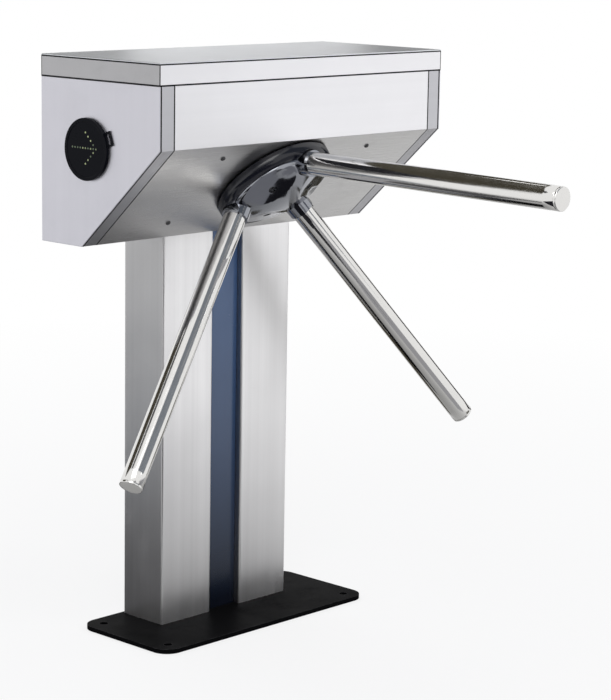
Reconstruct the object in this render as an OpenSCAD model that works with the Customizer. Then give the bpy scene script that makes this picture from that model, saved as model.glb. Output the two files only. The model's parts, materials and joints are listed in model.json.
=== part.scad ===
// Tripod turnstile: a pedestal of two folded posts carries a steel cabinet whose sloping
// panel holds a three-arm hub. Millimetres, +Z up, the passage lies towards -Y.
// The origin is on the floor, at the middle of the four anchor holes.

/* [Overall] */
// Height from the floor to the top of the lid
overall_h = 980; // [940:1:1060]
// Length of the cabinet, along the walkway
cab_len = 660; // [600:1:900]
// Depth of the cabinet, passage face to rear face
cab_depth = 280; // [276:1:320]
// Upright front face under the lid
front_h = 102; // [90:1:130]
// Fall of the sloping panel from its top edge to the cabinet floor
slope_drop = 167; // [160:1:176]
// Angle of the hub's axis below the horizon, square to the sloping panel
panel_tilt = 47.5; // [46:0.5:49]

/* [Base] */
// Length of the base plate
plate_len = 490; // [420:1:700]
// Depth of the base plate
plate_depth = 216; // [200:1:300]
// Thickness of the base plate
plate_t = 8; // [6:0.5:12]
// Radius of the base plate's corners
plate_corner_r = 30; // [10:1:36]
// Distance of the anchor holes from the plate's ends
anchor_end = 30; // [20:1:60]
// Distance of the anchor holes from the plate's long edges
anchor_side = 28; // [20:1:50]
// Diameter of an anchor hole
anchor_d = 14; // [10:0.5:18]
// Diameter of the cable hole in the base plate
cable_hole_d = 50; // [30:1:60]

/* [Column] */
// Length of the column, over both posts
column_len = 300; // [280:1:360]
// Distance of the column's front face behind the foot of the slope
column_front_margin = 0.8; // [0.5:0.1:20]
// Gap between the posts, filled by the dark panels
recess_w = 70; // [50:1:90]
// How far the dark front panel stands back
recess_depth = 12; // [6:1:20]
// Distance from the column's rear face to the plate's rear edge
column_back_margin = 6; // [4:1:30]
// Wall of a post
post_wall = 3; // [2:0.5:4]
// Thickness of the dark panels
recess_panel_t = 2; // [1.5:0.5:3]
// Thickness of the plates inside the tops of the posts
head_plate_t = 8; // [6:0.5:12]

/* [Cabinet sheets] */
// Thickness of the cabinet's sheets
sheet_t = 2; // [1.5:0.5:3]
// Thickness of the cabinet floor
cab_floor_t = 4; // [3:0.5:6]
// Width of the strip at each end, end face included
cheek_w = 30; // [24:1:45]
// Depth of the strip's folded flanges
flange_w = 14; // [10:1:20]
// Thickness of the black seal under each end plate
end_seal_t = 2.4; // [1.5:0.1:4]
// Thickness of the black seal between a strip and the panels
panel_seal_t = 2; // [1.5:0.1:4]
// Distance of a panel screw from the middle, along the panel
screw_x = 170; // [168:1:200]
// Distance of the upper panel screws from the top edge of the slope
screw_top = 33; // [25:1:45]
// Distance of the lower panel screws from the bottom edge of the slope
screw_bottom = 42; // [30:1:60]

/* [Lid] */
// Height of the lid with its gasket line
lid_h = 34; // [28:1:50]
// Thickness of the gasket under the lid
gasket_t = 2; // [1.5:0.1:4]
// Thickness of the black trim under the lid's top sheet
trim_t = 1.6; // [1:0.1:3]
// Width of the lid's inner flange
lid_flange_w = 12; // [8:1:20]
// Radius of a hinge knuckle
knuckle_r = 4.5; // [4:0.1:6]
// Radius of a hinge pin
hinge_pin_r = 2; // [1.5:0.1:2.5]
// Length of one hinge
hinge_len = 60; // [40:1:90]
// Distance of each hinge from the middle
hinge_x = 210; // [120:1:250]
// Radius of the lock's barrel
lock_r = 8; // [6:0.5:10]
// Height of the lock below the top of the end plate
lock_drop = 42; // [36:1:60]
// Distance of the lock in front of the cabinet's middle
lock_y = 60; // [30:1:90]

/* [Direction signs] */
// Radius of a sign's bezel
sign_r = 50; // [40:1:56]
// How far a sign stands out of the end plate
sign_out = 6; // [4:0.5:10]
// Width of the bezel's raised rim
sign_rim = 5; // [3:0.5:8]
// Depth of the signs' middles below the top of the end plates
sign_drop = 109; // [90:1:140]
// Distance of the signs behind the cabinet's middle
sign_y = 26.5; // [0:0.5:40]
// Depth of the sign's cup inside the cabinet
sign_cup = 24; // [16:1:40]
// Pitch of the lamps along an arrow
lamp_pitch = 6.2; // [5:0.1:7]
// Radius of one lamp
lamp_r = 1.7; // [1:0.1:2.4]

/* [Hub] */
// Distance of the hub's centre from the top edge of the slope
hub_from_top = 107.4; // [106:0.1:112]
// Radius of the black ring
ring_r = 104; // [98:0.5:105]
// Gap between the ring and the panel
hub_gap = 2; // [1.5:0.1:4]
// Height of the ring's front edge above the panel
ring_top = 22; // [18:0.5:26]
// Radius of the polished head
head_r = 88; // [84:0.5:92]
// Height of the head's front above the panel
head_top = 46; // [42:0.5:52]
// Tilt of the three flats between the arms
flat_tilt = 20; // [14:1:24]
// Radius at which the hub screws stand
hub_screw_r = 50; // [44:1:54]

/* [Arms] */
// Half angle of the cone that the arms lie on
arm_cone = 46.5; // [45:0.5:48]
// Depth of the cone's tip behind the panel's face
apex_depth = 49.6; // [47:0.1:52]
// Radius of an arm
arm_r = 19; // [17:0.1:20]
// Wall of an arm's tube
arm_wall = 1.5; // [1:0.1:3]
// Distance from the cone's tip to an arm's end
arm_reach = 638; // [560:1:720]
// Distance from the cone's tip to an arm's root
arm_root = 102; // [101:0.5:104]
// Distance from the cone's tip to the mouth of a socket
socket_end = 126; // [122:1:134]
// Wall of a socket round an arm
socket_wall = 3.2; // [2.5:0.1:3.6]
// Thickness of an arm's end cap
cap_t = 4; // [3:0.5:8]

/* [Mechanism] */
// Distance of the ribs from the middle
rib_x = 160; // [158:1:166]
// Thickness of a rib
rib_t = 3; // [2:0.5:4]
// Depth of the chassis plate's front face behind the panel
chassis_z = 54; // [52:0.5:58]
// Thickness of the chassis plate
chassis_t = 6; // [5:0.5:8]
// Length of the spacers between chassis and lock plate
spacer_len = 52; // [50:1:56]
// Radius of the main shaft
shaft_r = 15; // [14:0.5:15.5]
// Outer radius of a main bearing
bearing_r = 31; // [30:0.5:32]
// Width of a main bearing
bearing_w = 16; // [14:0.5:18]
// Radius of a bearing ball
ball_r = 4.6; // [4:0.1:4.7]
// Number of balls in a bearing
ball_n = 9; // [7:1:9]
// Number of teeth of the ratchet wheel
ratchet_n = 24; // [24:12:24]
// Outer radius of the ratchet wheel
ratchet_r = 50; // [49.5:0.1:50.2]
// Thickness of the ratchet wheel
ratchet_t = 8; // [7:0.5:9]
// Tooth size of the gears
gear_module = 2; // [1.9:0.05:2.05]
// Number of teeth of the main gear
gear_n = 48; // [48:4:48]
// Number of teeth of the damper's pinion
pinion_n = 16; // [14:1:16]
// Play between the gears' teeth
gear_play = 0.5; // [0.4:0.05:0.7]
// Thickness of the gears
gear_t = 10; // [8:0.5:11]
// Thickness of a pawl
pawl_t = 6; // [5:0.5:6.5]
// Angle through which a pawl swings to lock
pawl_swing = 9; // [8.5:0.1:9.5]
// Radius of a solenoid's plunger
plunger_r = 6; // [5.5:0.1:6.5]

/* [Hidden] */
$fn = 64;

// Colours
steel = [0.78, 0.78, 0.80];
polished = [0.85, 0.85, 0.87];
blackened = [0.07, 0.07, 0.08];
navy = [0.12, 0.14, 0.22];
zinc = [0.62, 0.64, 0.66];
brass = [0.75, 0.62, 0.32];
green = [0.10, 0.36, 0.20];

// Folds, and the bolts between column and cabinet
recess_fold = 20;
column_bolt_x = 35;
column_bolt_edge = 22.5;
column_bolt_r = 5;

// Small clearances
eps = 0.01;
run_gap = 0.08;
side_gap = 0.3;

// Sizes that follow from the driving sizes
anchor_dx = plate_len - 2 * anchor_end;
anchor_dy = plate_depth - 2 * anchor_side;
post_w = (column_len - recess_w) / 2;

// Heights and depths that follow from the driving sizes
lid_z = overall_h - lid_h;
cab_top = lid_z - gasket_t;
break_z = lid_z - front_h;
floor_z = break_z - slope_drop;
back_y = plate_depth / 2 - column_back_margin;
front_y = back_y - cab_depth;
mid_y = (front_y + back_y) / 2;
foot_y = front_y + slope_drop * tan(panel_tilt);
slope_len = slope_drop / cos(panel_tilt);
end_x = cab_len / 2;
cheek_x = end_x - cheek_w;
end_seal_x = end_x - sheet_t - end_seal_t;
panel_x = cheek_x - panel_seal_t;
column_y = foot_y + column_front_margin;
column_depth = back_y - column_y;
head_z = floor_z - head_plate_t;
sign_z = cab_top - sign_drop;
hub_y = front_y + hub_from_top * sin(panel_tilt);
hub_z = break_z - hub_from_top * cos(panel_tilt);

// Depths behind the panel, measured along the hub's axis
chassis_back = chassis_z + chassis_t;
lock_z = chassis_back + spacer_len;
lock_plate_t = 6;
bearing_front = 26;
bearing_back = lock_z - 2;
ratchet_z = lock_z + 12;
pawl_z = ratchet_z + ratchet_t / 2;
gear_z = ratchet_z + ratchet_t + 6;
housing_r = bearing_r + 7;
housing_flange_r = housing_r + 24;
housing_flange_t = 8;
housing_lip = 3.5;
housing_bolt_edge = 10;
ball_track = (shaft_r + bearing_r) / 2;
inner_ring_r = shaft_r + 4.8;
outer_ring_r = bearing_r - 4.8;

// Places in the lock plate, across the hub's axis
ratchet_root = ratchet_r - 7;
ratchet_pitch = 360 / ratchet_n;
gear_centres = gear_module * (gear_n + pinion_n) / 2 + 0.2;
pawl_x = ratchet_r + 4;
pawl_y = 46;
pawl_tail = 32;
pawl_pin_r = 5;
pinion_shaft_r = 5;
damper_r = 20;
damper_len = 28;
plunger_y = pawl_y + pawl_tail;
plunger_travel = pawl_tail * tan(pawl_swing);
plunger_slot = pawl_t + 2 * side_gap;
solenoid_x = pawl_x + 23;
solenoid_len = 44;
solenoid_size = 20;
spacer_x = solenoid_x + solenoid_len + 9;
board_t = 1.6;
link_pin_r = 2;
spring_wire_r = 0.6;

// The signs' cups, and the lug with its curved slot on each bezel
sign_hole_r = sign_r - 8;
sign_bore_r = sign_hole_r - 3;
lug_angle = -111;
lug_out = 11;
lug_w = 24;
lug_t = 3;

// The ribs inside the cabinet and the plates that they carry
rib_web = 60;
rib_flange_w = 20;
rib_flange_end = 12;
rib_shelf_w = 22;
shelf_low = -80;
shelf_high = 60;
shelf_bolt_end = 15;
chassis_bolt_r = 4;
slope_screw_r = 2.5;
panel_hole_r = housing_r + 2;
spacer_low = -plunger_y - 8;
spacer_high = ratchet_r + 8;
spacer_r = 6;
spacer_stud_r = 3;
plate_edge = 12;

// The hub's sockets
socket_r = arm_r + socket_wall;
head_back = 6;
carrier_r = hub_screw_r + 8;
carrier_t = 10;
carrier_flange_w = 8;
carrier_flange_t = 3;
stud_r = 12;
nut_r = 18 / cos(30);
nut_t = 12;
clip_w = 5;
clip_t = 2;
arm_bolt_r = 80;
socket_start = 70;
hub_shank_r = 4;
well_r = 7;
well_depth = 20;
flat_r = 60;
flat_drop = 13;

// Outline of the cabinet from the side, as [y, z], set in by d and cut off at the height top
function outline(d, top) = [
    [front_y + d, top],
    [front_y + d, break_z + d * tan(panel_tilt / 2)],
    [front_y + d * cos(panel_tilt)
        + (slope_drop - d + d * sin(panel_tilt)) * tan(panel_tilt), floor_z + d],
    [back_y - d, floor_z + d],
    [back_y - d, top]];

// Extrude an outline of [y, z] points along X
module slab(x0, x1, points) {
    translate([x0, 0, 0]) rotate([90, 0, 90]) linear_extrude(x1 - x0) polygon(points);
}

// A band that follows the cabinet's outline, open at the top
module hoop(x0, x1, d0, d1, top = cab_top) {
    difference() {
        slab(x0, x1, outline(d0, top));
        slab(x0 - 1, x1 + 1, outline(d1, top + 1));
    }
}

// A rectangular frame in plan, as long and deep as the cabinet
module plan_frame(z0, z1, w) {
    difference() {
        translate([-end_x, front_y, z0]) cube([cab_len, cab_depth, z1 - z0]);
        translate([-end_x + w, front_y + w, z0 - 1])
            cube([cab_len - 2 * w, cab_depth - 2 * w, z1 - z0 + 2]);
    }
}

// Both sides, the second mirrored
module both() {
    children();
    mirror([1, 0, 0]) children();
}

// Frame of the hub: +Z leaves the panel along the hub's axis, +Y climbs the panel
module at_hub() {
    translate([0, hub_y, hub_z]) rotate([90 + panel_tilt, 0, 0]) children();
}

// The three directions of the arms, the first one level over the passage
module each_arm() {
    for (k = [0:2]) rotate([0, 0, 120 * k]) translate([0, 0, -apex_depth])
        rotate([-arm_cone, 0, 0]) children();
}

// The three places between the arms
module between_arms() {
    for (k = [0:2]) rotate([0, 0, 60 + 120 * k]) children();
}

module ring(r_out, r_in, z0, z1) {
    difference() {
        translate([0, 0, z0]) cylinder(r = r_out, h = z1 - z0);
        translate([0, 0, z0 - 1]) cylinder(r = r_in, h = z1 - z0 + 2);
    }
}

// A hexagon across the flats, as a polygon
module hex(r, h) {
    linear_extrude(h) polygon([for (k = [0:5]) r * [cos(60 * k), sin(60 * k)]]);
}

// A hex head for a bolt of this radius
module bolt_head(r) hex(r * 1.875, r * 1.375);

// A hex-socket screw: head above z = 0, shank below
module socket_screw(shank_r, shank_len, head_screw_r, head_h) {
    difference() {
        cylinder(r = head_screw_r, h = head_h);
        translate([0, 0, head_h / 2]) hex(head_screw_r * 0.55, head_h);
    }
    translate([0, 0, -shank_len]) cylinder(r = shank_r, h = shank_len);
}

// Base

module anchor_places() {
    for (x = [-1, 1], y = [-1, 1]) translate([x * anchor_dx / 2, y * anchor_dy / 2, 0]) children();
}

module base_plate() color(blackened) difference() {
    union() {
        translate([-plate_len / 2 + plate_corner_r, -plate_depth / 2, 0])
            cube([plate_len - 2 * plate_corner_r, plate_depth, plate_t]);
        translate([-plate_len / 2, -plate_depth / 2 + plate_corner_r, 0])
            cube([plate_len, plate_depth - 2 * plate_corner_r, plate_t]);
        for (x = [-1, 1], y = [-1, 1])
            translate([x * (plate_len / 2 - plate_corner_r), y * (plate_depth / 2 - plate_corner_r), 0])
                cylinder(r = plate_corner_r, h = plate_t);
    }
    anchor_places() translate([0, 0, -1]) cylinder(d = anchor_d, h = plate_t + 2);
    translate([0, column_y + column_depth / 2, -1]) cylinder(d = cable_hole_d, h = plate_t + 2);
}

// Column

// The space inside the right post, from one height to another
module post_inside(z0, z1) {
    translate([recess_w / 2 + post_wall, column_y + post_wall, z0])
        cube([post_w - 2 * post_wall, column_depth - 2 * post_wall, z1 - z0]);
}

module post() difference() {
    translate([recess_w / 2, column_y, plate_t]) cube([post_w, column_depth, floor_z - plate_t]);
    post_inside(plate_t - 1, floor_z + 1);
}

module left_post() color(steel) mirror([1, 0, 0]) post();
module right_post() color(steel) post();

// A dark cover between the posts, with two folded sides
module recess_panel(y_face, into) {
    y0 = into > 0 ? y_face : y_face - recess_fold;
    y1 = into > 0 ? y_face + recess_panel_t : y_face - recess_fold - 1;
    difference() {
        translate([-recess_w / 2, y0, plate_t]) cube([recess_w, recess_fold, floor_z - plate_t]);
        translate([-recess_w / 2 + recess_panel_t, y1, plate_t - 1])
            cube([recess_w - 2 * recess_panel_t, recess_fold - recess_panel_t + 1, floor_z - plate_t + 2]);
    }
}

module front_recess_panel() color(navy) recess_panel(column_y + recess_depth, 1);
module rear_recess_panel() color(navy) recess_panel(back_y - recess_depth / 2, -1);

module column_bolt_places() {
    for (x = [-1, 1], y = [-1, 1]) translate([x * (column_len / 2 - column_bolt_x),
        column_y + column_depth / 2 + y * (column_depth / 2 - column_bolt_edge), floor_z]) children();
}

// A plate inside the top of each post takes the cabinet's bolts
module head_plates() color(zinc) both() difference() {
    post_inside(head_z, floor_z);
    column_bolt_places() translate([0, 0, -head_plate_t - 1])
        cylinder(r = column_bolt_r, h = head_plate_t + 2);
}

module column_bolts() color(zinc) column_bolt_places() {
    translate([0, 0, cab_floor_t]) bolt_head(column_bolt_r);
    translate([0, 0, -head_plate_t]) cylinder(r = column_bolt_r, h = head_plate_t + cab_floor_t);
}

// Cabinet

module cabinet_floor() color(steel) difference() {
    slab(-panel_x, panel_x, [
        [foot_y + sheet_t / cos(panel_tilt), floor_z],
        [back_y - sheet_t, floor_z],
        [back_y - sheet_t, floor_z + cab_floor_t],
        [foot_y + sheet_t / cos(panel_tilt) - cab_floor_t * tan(panel_tilt), floor_z + cab_floor_t]]);
    column_bolt_places() translate([0, 0, -1]) cylinder(r = column_bolt_r, h = cab_floor_t + 2);
    translate([0, column_y + column_depth / 2, floor_z - 1])
        cylinder(d = cable_hole_d, h = cab_floor_t + 2);
}

module back_panel() color(steel) {
    slab(-panel_x, panel_x, [
        [back_y - sheet_t, floor_z], [back_y, floor_z], [back_y, cab_top],
        [back_y - flange_w, cab_top], [back_y - flange_w, cab_top - sheet_t],
        [back_y - sheet_t, cab_top - sheet_t]]);
}

module front_panel() color([0.90, 0.90, 0.92]) {
    inner = outline(sheet_t, cab_top);
    slab(-panel_x, panel_x, [
        [front_y, cab_top], [front_y, break_z], inner[1],
        [front_y + sheet_t, cab_top - sheet_t], [front_y + flange_w, cab_top - sheet_t],
        [front_y + flange_w, cab_top]]);
}

// The places of the slope's screws, with +Z out of the panel
module slope_screw_places() {
    for (x = [-1, 1], y = [hub_from_top - screw_top, hub_from_top - slope_len + screw_bottom])
        at_hub() translate([x * screw_x, y, 0]) children();
}

module slope_panel() color([0.62, 0.62, 0.64]) {
    inner = outline(sheet_t, cab_top);
    difference() {
        slab(-panel_x, panel_x, [
            [front_y, break_z], [foot_y, floor_z],
            [foot_y + sheet_t / cos(panel_tilt), floor_z], inner[1]]);
        at_hub() translate([0, 0, -2 * sheet_t]) cylinder(r = panel_hole_r, h = 3 * sheet_t);
        slope_screw_places() translate([0, 0, -2 * sheet_t]) cylinder(r = slope_screw_r, h = 3 * sheet_t);
    }
}

module slope_screws() color(blackened) slope_screw_places() difference() {
    union() {
        cylinder(r = slope_screw_r + 1.7, h = 2.2);
        translate([0, 0, -sheet_t - rib_t]) cylinder(r = slope_screw_r, h = sheet_t + rib_t);
    }
    translate([0, 0, 1]) hex(2.2, 3);
}

module cheek() {
    hoop(cheek_x, end_seal_x, 0, sheet_t);
    hoop(cheek_x, cheek_x + sheet_t, 0, flange_w);
    hoop(end_seal_x - sheet_t, end_seal_x, 0, flange_w);
}

module left_cheek() color(steel) mirror([1, 0, 0]) cheek();
module right_cheek() color(steel) cheek();

module lock_place() {
    translate([end_x, mid_y - lock_y, cab_top - lock_drop]) rotate([0, 90, 0]) children();
}

module end_plate() {
    difference() {
        slab(end_x - sheet_t, end_x, outline(0, cab_top));
        sign_place() translate([0, 0, -2 * sheet_t]) cylinder(r = sign_hole_r, h = 3 * sheet_t);
    }
}

module left_end_plate() color([0.84, 0.84, 0.90]) mirror([1, 0, 0]) end_plate();
module right_end_plate() color([0.84, 0.84, 0.90]) difference() {
    end_plate();
    lock_place() translate([0, 0, -2 * sheet_t]) cylinder(r = lock_r, h = 3 * sheet_t);
}

module cabinet_seals() color(blackened) both() {
    hoop(end_seal_x, end_x - sheet_t, 0, flange_w);
    hoop(panel_x, cheek_x, 0, flange_w);
}

module lid_gasket() color(blackened) plan_frame(cab_top, lid_z, 10);

// The ribs carry the chassis plate and take the slope's screws
module mechanism_ribs() color(zinc) both() {
    difference() {
        slab(rib_x, rib_x + rib_t, outline(sheet_t, cab_top - sheet_t));
        slab(rib_x - 1, rib_x + rib_t + 1, [
            [mid_y - rib_web, cab_top - rib_web], [mid_y + rib_web / 2, break_z - rib_web],
            [back_y - rib_web / 2, break_z - rib_web], [back_y - rib_web / 2, cab_top - rib_web]]);
        translate([rib_x - 1, front_y, floor_z]) cube([rib_t + 2, cab_depth, cab_floor_t]);
    }
    at_hub() difference() {
        translate([rib_x + rib_t, hub_from_top - slope_len + screw_bottom - rib_flange_end, -sheet_t - rib_t])
            cube([rib_flange_w, slope_len - screw_top - screw_bottom + 2 * rib_flange_end, rib_t]);
        for (y = [hub_from_top - screw_top, hub_from_top - slope_len + screw_bottom])
            translate([screw_x, y, -sheet_t - rib_t - 1]) cylinder(r = slope_screw_r, h = rib_t + 2);
    }
    at_hub() difference() {
        translate([rib_x - rib_shelf_w, shelf_low, -chassis_z])
            cube([rib_shelf_w + rib_t / 2, shelf_high - shelf_low, rib_t]);
        chassis_bolt_places() translate([0, 0, -1]) cylinder(r = chassis_bolt_r, h = rib_t + 2);
    }
}

// Lid

lid_inner_z = overall_h - 2 * sheet_t - trim_t;
lid_corner_w = 1.2;

// The lid's four upright corners; out and up make them larger, to cut with
module lid_corners(out = 0, up = 0) {
    side = lid_corner_w + out;
    both() for (y = [-1, 1])
        translate([end_x - lid_corner_w, mid_y + y * (cab_depth - lid_corner_w + out) / 2 - side / 2,
            lid_z - up]) cube([side, side, lid_inner_z + sheet_t - lid_z + 2 * up]);
}

module lid_rim() color(steel) {
    difference() {
        union() {
            plan_frame(lid_z, lid_inner_z + sheet_t, sheet_t);
            plan_frame(lid_inner_z, lid_inner_z + sheet_t, lid_flange_w);
        }
        lid_corners(1, 1);
    }
    lid_catch();
}

// A hook that hangs from the lid's flange and reaches under the turned cam
module lid_catch() {
    lip_z = cab_top - lock_drop - cam_w / 2 - side_gap - sheet_t;
    x = end_x - cam_depth + cam_t + cam_gap;
    y = mid_y - lock_y + cam_w / 2 + catch_room;
    len = cam_reach - cam_w / 2 - catch_room;
    translate([x, y, lip_z]) cube([sheet_t, len, lid_inner_z + sheet_t - lip_z]);
    translate([x - cam_t - cam_gap, y, lip_z]) cube([cam_t + cam_gap + sheet_t, len, sheet_t]);
    translate([x, y, lid_inner_z]) cube([end_x - x - sheet_t, len, sheet_t]);
}

// A black line runs under the lid's top sheet and down its four corners
module lid_trim() color(blackened) {
    plan_frame(overall_h - sheet_t - trim_t, overall_h - sheet_t, lid_flange_w);
    lid_corners();
}

module lid_top() color([0.74, 0.77, 0.82])
    translate([-end_x, front_y, overall_h - sheet_t]) cube([cab_len, cab_depth, sheet_t]);

hinge_y = back_y + knuckle_r + side_gap;
hinge_z = lid_z - gasket_t / 2;
knuckle_len = hinge_len / 3;
leaf_h = 22;

// One hinge's leaf with its knuckles; up is 1 for the lid's leaf and -1 for the fixed one
module hinge_leaf(up) {
    leaf_z = up > 0 ? lid_z + 1 : cab_top - 1 - leaf_h;
    difference() {
        union() {
            difference() {
                translate([-hinge_len / 2, back_y, leaf_z]) cube([hinge_len, sheet_t, leaf_h]);
                hinge_rod(knuckle_r + side_gap);
            }
            for (k = up > 0 ? [0] : [-1, 1]) knuckle(k, up);
        }
        hinge_rod(hinge_pin_r + (up > 0 ? run_gap : 0));
    }
}

// A round bar along a hinge's axis, longer than the hinge
module hinge_rod(r) {
    translate([-hinge_len, hinge_y, hinge_z]) rotate([0, 90, 0]) cylinder(r = r, h = 2 * hinge_len);
}

// One knuckle: a tube round the pin and the web that joins it to its leaf
module knuckle(k, up) {
    web = knuckle_len - 2 * side_gap;
    web_h = knuckle_r + 3;
    translate([(k - 0.5) * knuckle_len + side_gap, hinge_y, hinge_z]) rotate([0, 90, 0])
        cylinder(r = knuckle_r, h = web);
    translate([k * knuckle_len - web / 2, back_y, up > 0 ? hinge_z : hinge_z - web_h])
        cube([web, sheet_t, web_h]);
}

module hinge_lid_leaves() color(zinc) both() translate([hinge_x, 0, 0]) hinge_leaf(1);
module hinge_fixed_leaves() color(zinc) both() translate([hinge_x, 0, 0]) hinge_leaf(-1);
module hinge_pins() color(zinc) both()
    translate([hinge_x - hinge_len / 2, hinge_y, hinge_z]) rotate([0, 90, 0])
        cylinder(r = hinge_pin_r, h = hinge_len);

cam_reach = 28;
cam_w = 12;
cam_t = 3;
cam_depth = 20;
cam_gap = 1;
// Room in front of the catch, which swings forward as the lid rises
catch_room = 10;

// A cam lock in the right end plate: the housing is fixed, the barrel turns with its cam
module lock_housing() color(zinc) lock_place() {
    ring(lock_r + 3, lock_r - 2, 0, 2);
    ring(lock_r, lock_r - 2, -cam_depth + cam_t + side_gap, 0);
    ring(lock_r + 4, lock_r, -sheet_t - 6, -sheet_t);
}

// The cam points up while the lid is free, and turns down over the lid's catch to lock it
module lock_barrel() color(polished) lock_place() difference() {
    union() {
        translate([0, 0, -cam_depth]) cylinder(r = lock_r - 2 - run_gap, h = cam_depth + 2);
        translate([-cam_reach, -cam_w / 2, -cam_depth]) cube([cam_reach, cam_w, cam_t]);
    }
    translate([-3.5, -1, -4]) cube([7, 2, 10]);
}

// Direction signs

module sign_place() {
    translate([end_x, mid_y + sign_y, sign_z]) rotate([0, 90, 0]) children();
}

// Lamps of an arrow that points to the passage: [towards the passage, up]
arrow_tip = [24, 2];
arrow_lamps = concat(
    [for (k = [0:9]) arrow_tip - [k * lamp_pitch, 0]],
    [for (k = [1:4], s = [-1, 1]) arrow_tip + k * lamp_pitch * [-1, s]]);

module lamp_places() {
    for (p = arrow_lamps) translate([-p[1], -p[0], sign_out - 2]) children();
}

module sign_bezel() difference() {
    union() {
        cylinder(r = sign_r, h = sign_out);
        translate([0, 0, -sign_cup]) cylinder(r = sign_hole_r - side_gap, h = sign_cup);
        rotate([0, 0, lug_angle]) translate([sign_hole_r, -lug_w / 2, 0])
            cube([sign_r - sign_hole_r + lug_out, lug_w, lug_t]);
    }
    translate([0, 0, sign_out - 1]) cylinder(r = sign_r - sign_rim, h = 2);
    translate([0, 0, -sign_cup - 1]) cylinder(r = sign_bore_r, h = sign_cup + sign_out - 2);
    lamp_places() translate([0, 0, -2]) cylinder(r = lamp_r, h = 5, $fn = 24);
    rotate([0, 0, lug_angle]) intersection() {
        ring(sign_r + lug_out - lug_t, sign_r + lug_t / 2, -1, lug_t + 1);
        translate([sign_r, -lug_w / 2 + lug_t, -2]) cube([lug_out, lug_w - 2 * lug_t, lug_t + 4]);
    }
}

module sign_bezels() color(blackened) both() sign_place() sign_bezel();

module sign_lamps() color([0.8, 0.85, 0.8]) both() sign_place() lamp_places()
    translate([0, 0, -3]) cylinder(r = lamp_r, h = 4.4, $fn = 24);

module sign_boards() color(green) both() sign_place()
    translate([0, 0, sign_out - 5 - board_t]) cylinder(r = sign_bore_r, h = board_t);

// Mechanism, all in the hub's frame

module chassis_bolt_places() {
    for (y = [shelf_low + shelf_bolt_end, shelf_high - shelf_bolt_end])
        translate([rib_x - rib_shelf_w / 2, y, -chassis_z]) children();
}

module spacer_places() {
    for (x = [-1, 1], y = [spacer_low, spacer_high]) translate([x * spacer_x, y, 0]) children();
}

module housing_bolt_places() {
    for (k = [0:3]) rotate([0, 0, 45 + 90 * k])
        translate([housing_flange_r - housing_bolt_edge, 0, 0]) children();
}

// A plate parallel to the panel, past the spacers by its edge
module mechanism_plate(half_w, back, thick) {
    translate([-half_w, spacer_low - plate_edge, -back])
        cube([2 * half_w, spacer_high - spacer_low + 2 * plate_edge, thick]);
}

module chassis_plate() color(zinc) at_hub() difference() {
    mechanism_plate(rib_x - side_gap, chassis_back, chassis_t);
    translate([0, 0, -chassis_back - 1]) cylinder(r = housing_r, h = chassis_t + 2);
    both() chassis_bolt_places() translate([0, 0, -chassis_t - 1])
        cylinder(r = chassis_bolt_r, h = chassis_t + 2);
    housing_bolt_places() translate([0, 0, -chassis_back - 1])
        cylinder(r = chassis_bolt_r, h = chassis_t + 2);
}

module chassis_bolts() color(zinc) at_hub() {
    both() chassis_bolt_places() {
        translate([0, 0, rib_t]) bolt_head(chassis_bolt_r);
        translate([0, 0, -chassis_t]) cylinder(r = chassis_bolt_r, h = chassis_t + rib_t);
    }
    housing_bolt_places() {
        translate([0, 0, -chassis_z + housing_flange_t]) bolt_head(chassis_bolt_r);
        translate([0, 0, -chassis_back]) cylinder(r = chassis_bolt_r, h = chassis_t + housing_flange_t);
    }
}

module bearing_housing() color(zinc) at_hub() difference() {
    union() {
        translate([0, 0, -lock_z]) cylinder(r = housing_r, h = lock_z - bearing_front + 2);
        translate([0, 0, -chassis_z]) cylinder(r = housing_flange_r, h = housing_flange_t);
    }
    translate([0, 0, -bearing_front - bearing_w]) cylinder(r = bearing_r, h = bearing_w + bearing_front);
    translate([0, 0, -lock_z - 1]) cylinder(r = bearing_r, h = lock_z - bearing_back + bearing_w + 1);
    translate([0, 0, -lock_z]) cylinder(r = bearing_r - housing_lip, h = lock_z);
    housing_bolt_places() translate([0, 0, -chassis_z - 1])
        cylinder(r = chassis_bolt_r, h = housing_flange_t + 2);
}

// The two bearings; z is each one's middle
module bearing_places() {
    for (z = [-bearing_front - bearing_w / 2, -bearing_back + bearing_w / 2])
        at_hub() translate([0, 0, z]) children();
}

module ball_groove() {
    rotate_extrude() translate([ball_track, 0]) circle(r = ball_r + run_gap);
}

module bearing_outer_rings() color(polished) bearing_places() difference() {
    ring(bearing_r, outer_ring_r, -bearing_w / 2, bearing_w / 2);
    ball_groove();
}

module bearing_inner_rings() color(polished) bearing_places() difference() {
    ring(inner_ring_r, shaft_r, -bearing_w / 2, bearing_w / 2);
    ball_groove();
}

module bearing_balls() color(polished) bearing_places()
    for (k = [0:ball_n - 1]) rotate([0, 0, 360 / ball_n * k]) translate([ball_track, 0, 0])
        sphere(r = ball_r, $fn = 32);

module lock_plate() color(zinc) at_hub() difference() {
    mechanism_plate(spacer_x + plate_edge, lock_z + lock_plate_t, lock_plate_t);
    translate([0, 0, -lock_z - lock_plate_t - 1]) cylinder(r = shaft_r + 10, h = lock_plate_t + 2);
    translate([0, -gear_centres, -lock_z - lock_plate_t - 1])
        cylinder(r = pinion_shaft_r + 3, h = lock_plate_t + 2);
    both() translate([pawl_x, -pawl_y, -lock_z - lock_plate_t - 1])
        cylinder(r = pawl_pin_r, h = lock_plate_t + 2);
    spacer_places() translate([0, 0, -lock_z - lock_plate_t - 1])
        cylinder(r = spacer_stud_r, h = lock_plate_t + 2);
}

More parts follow.
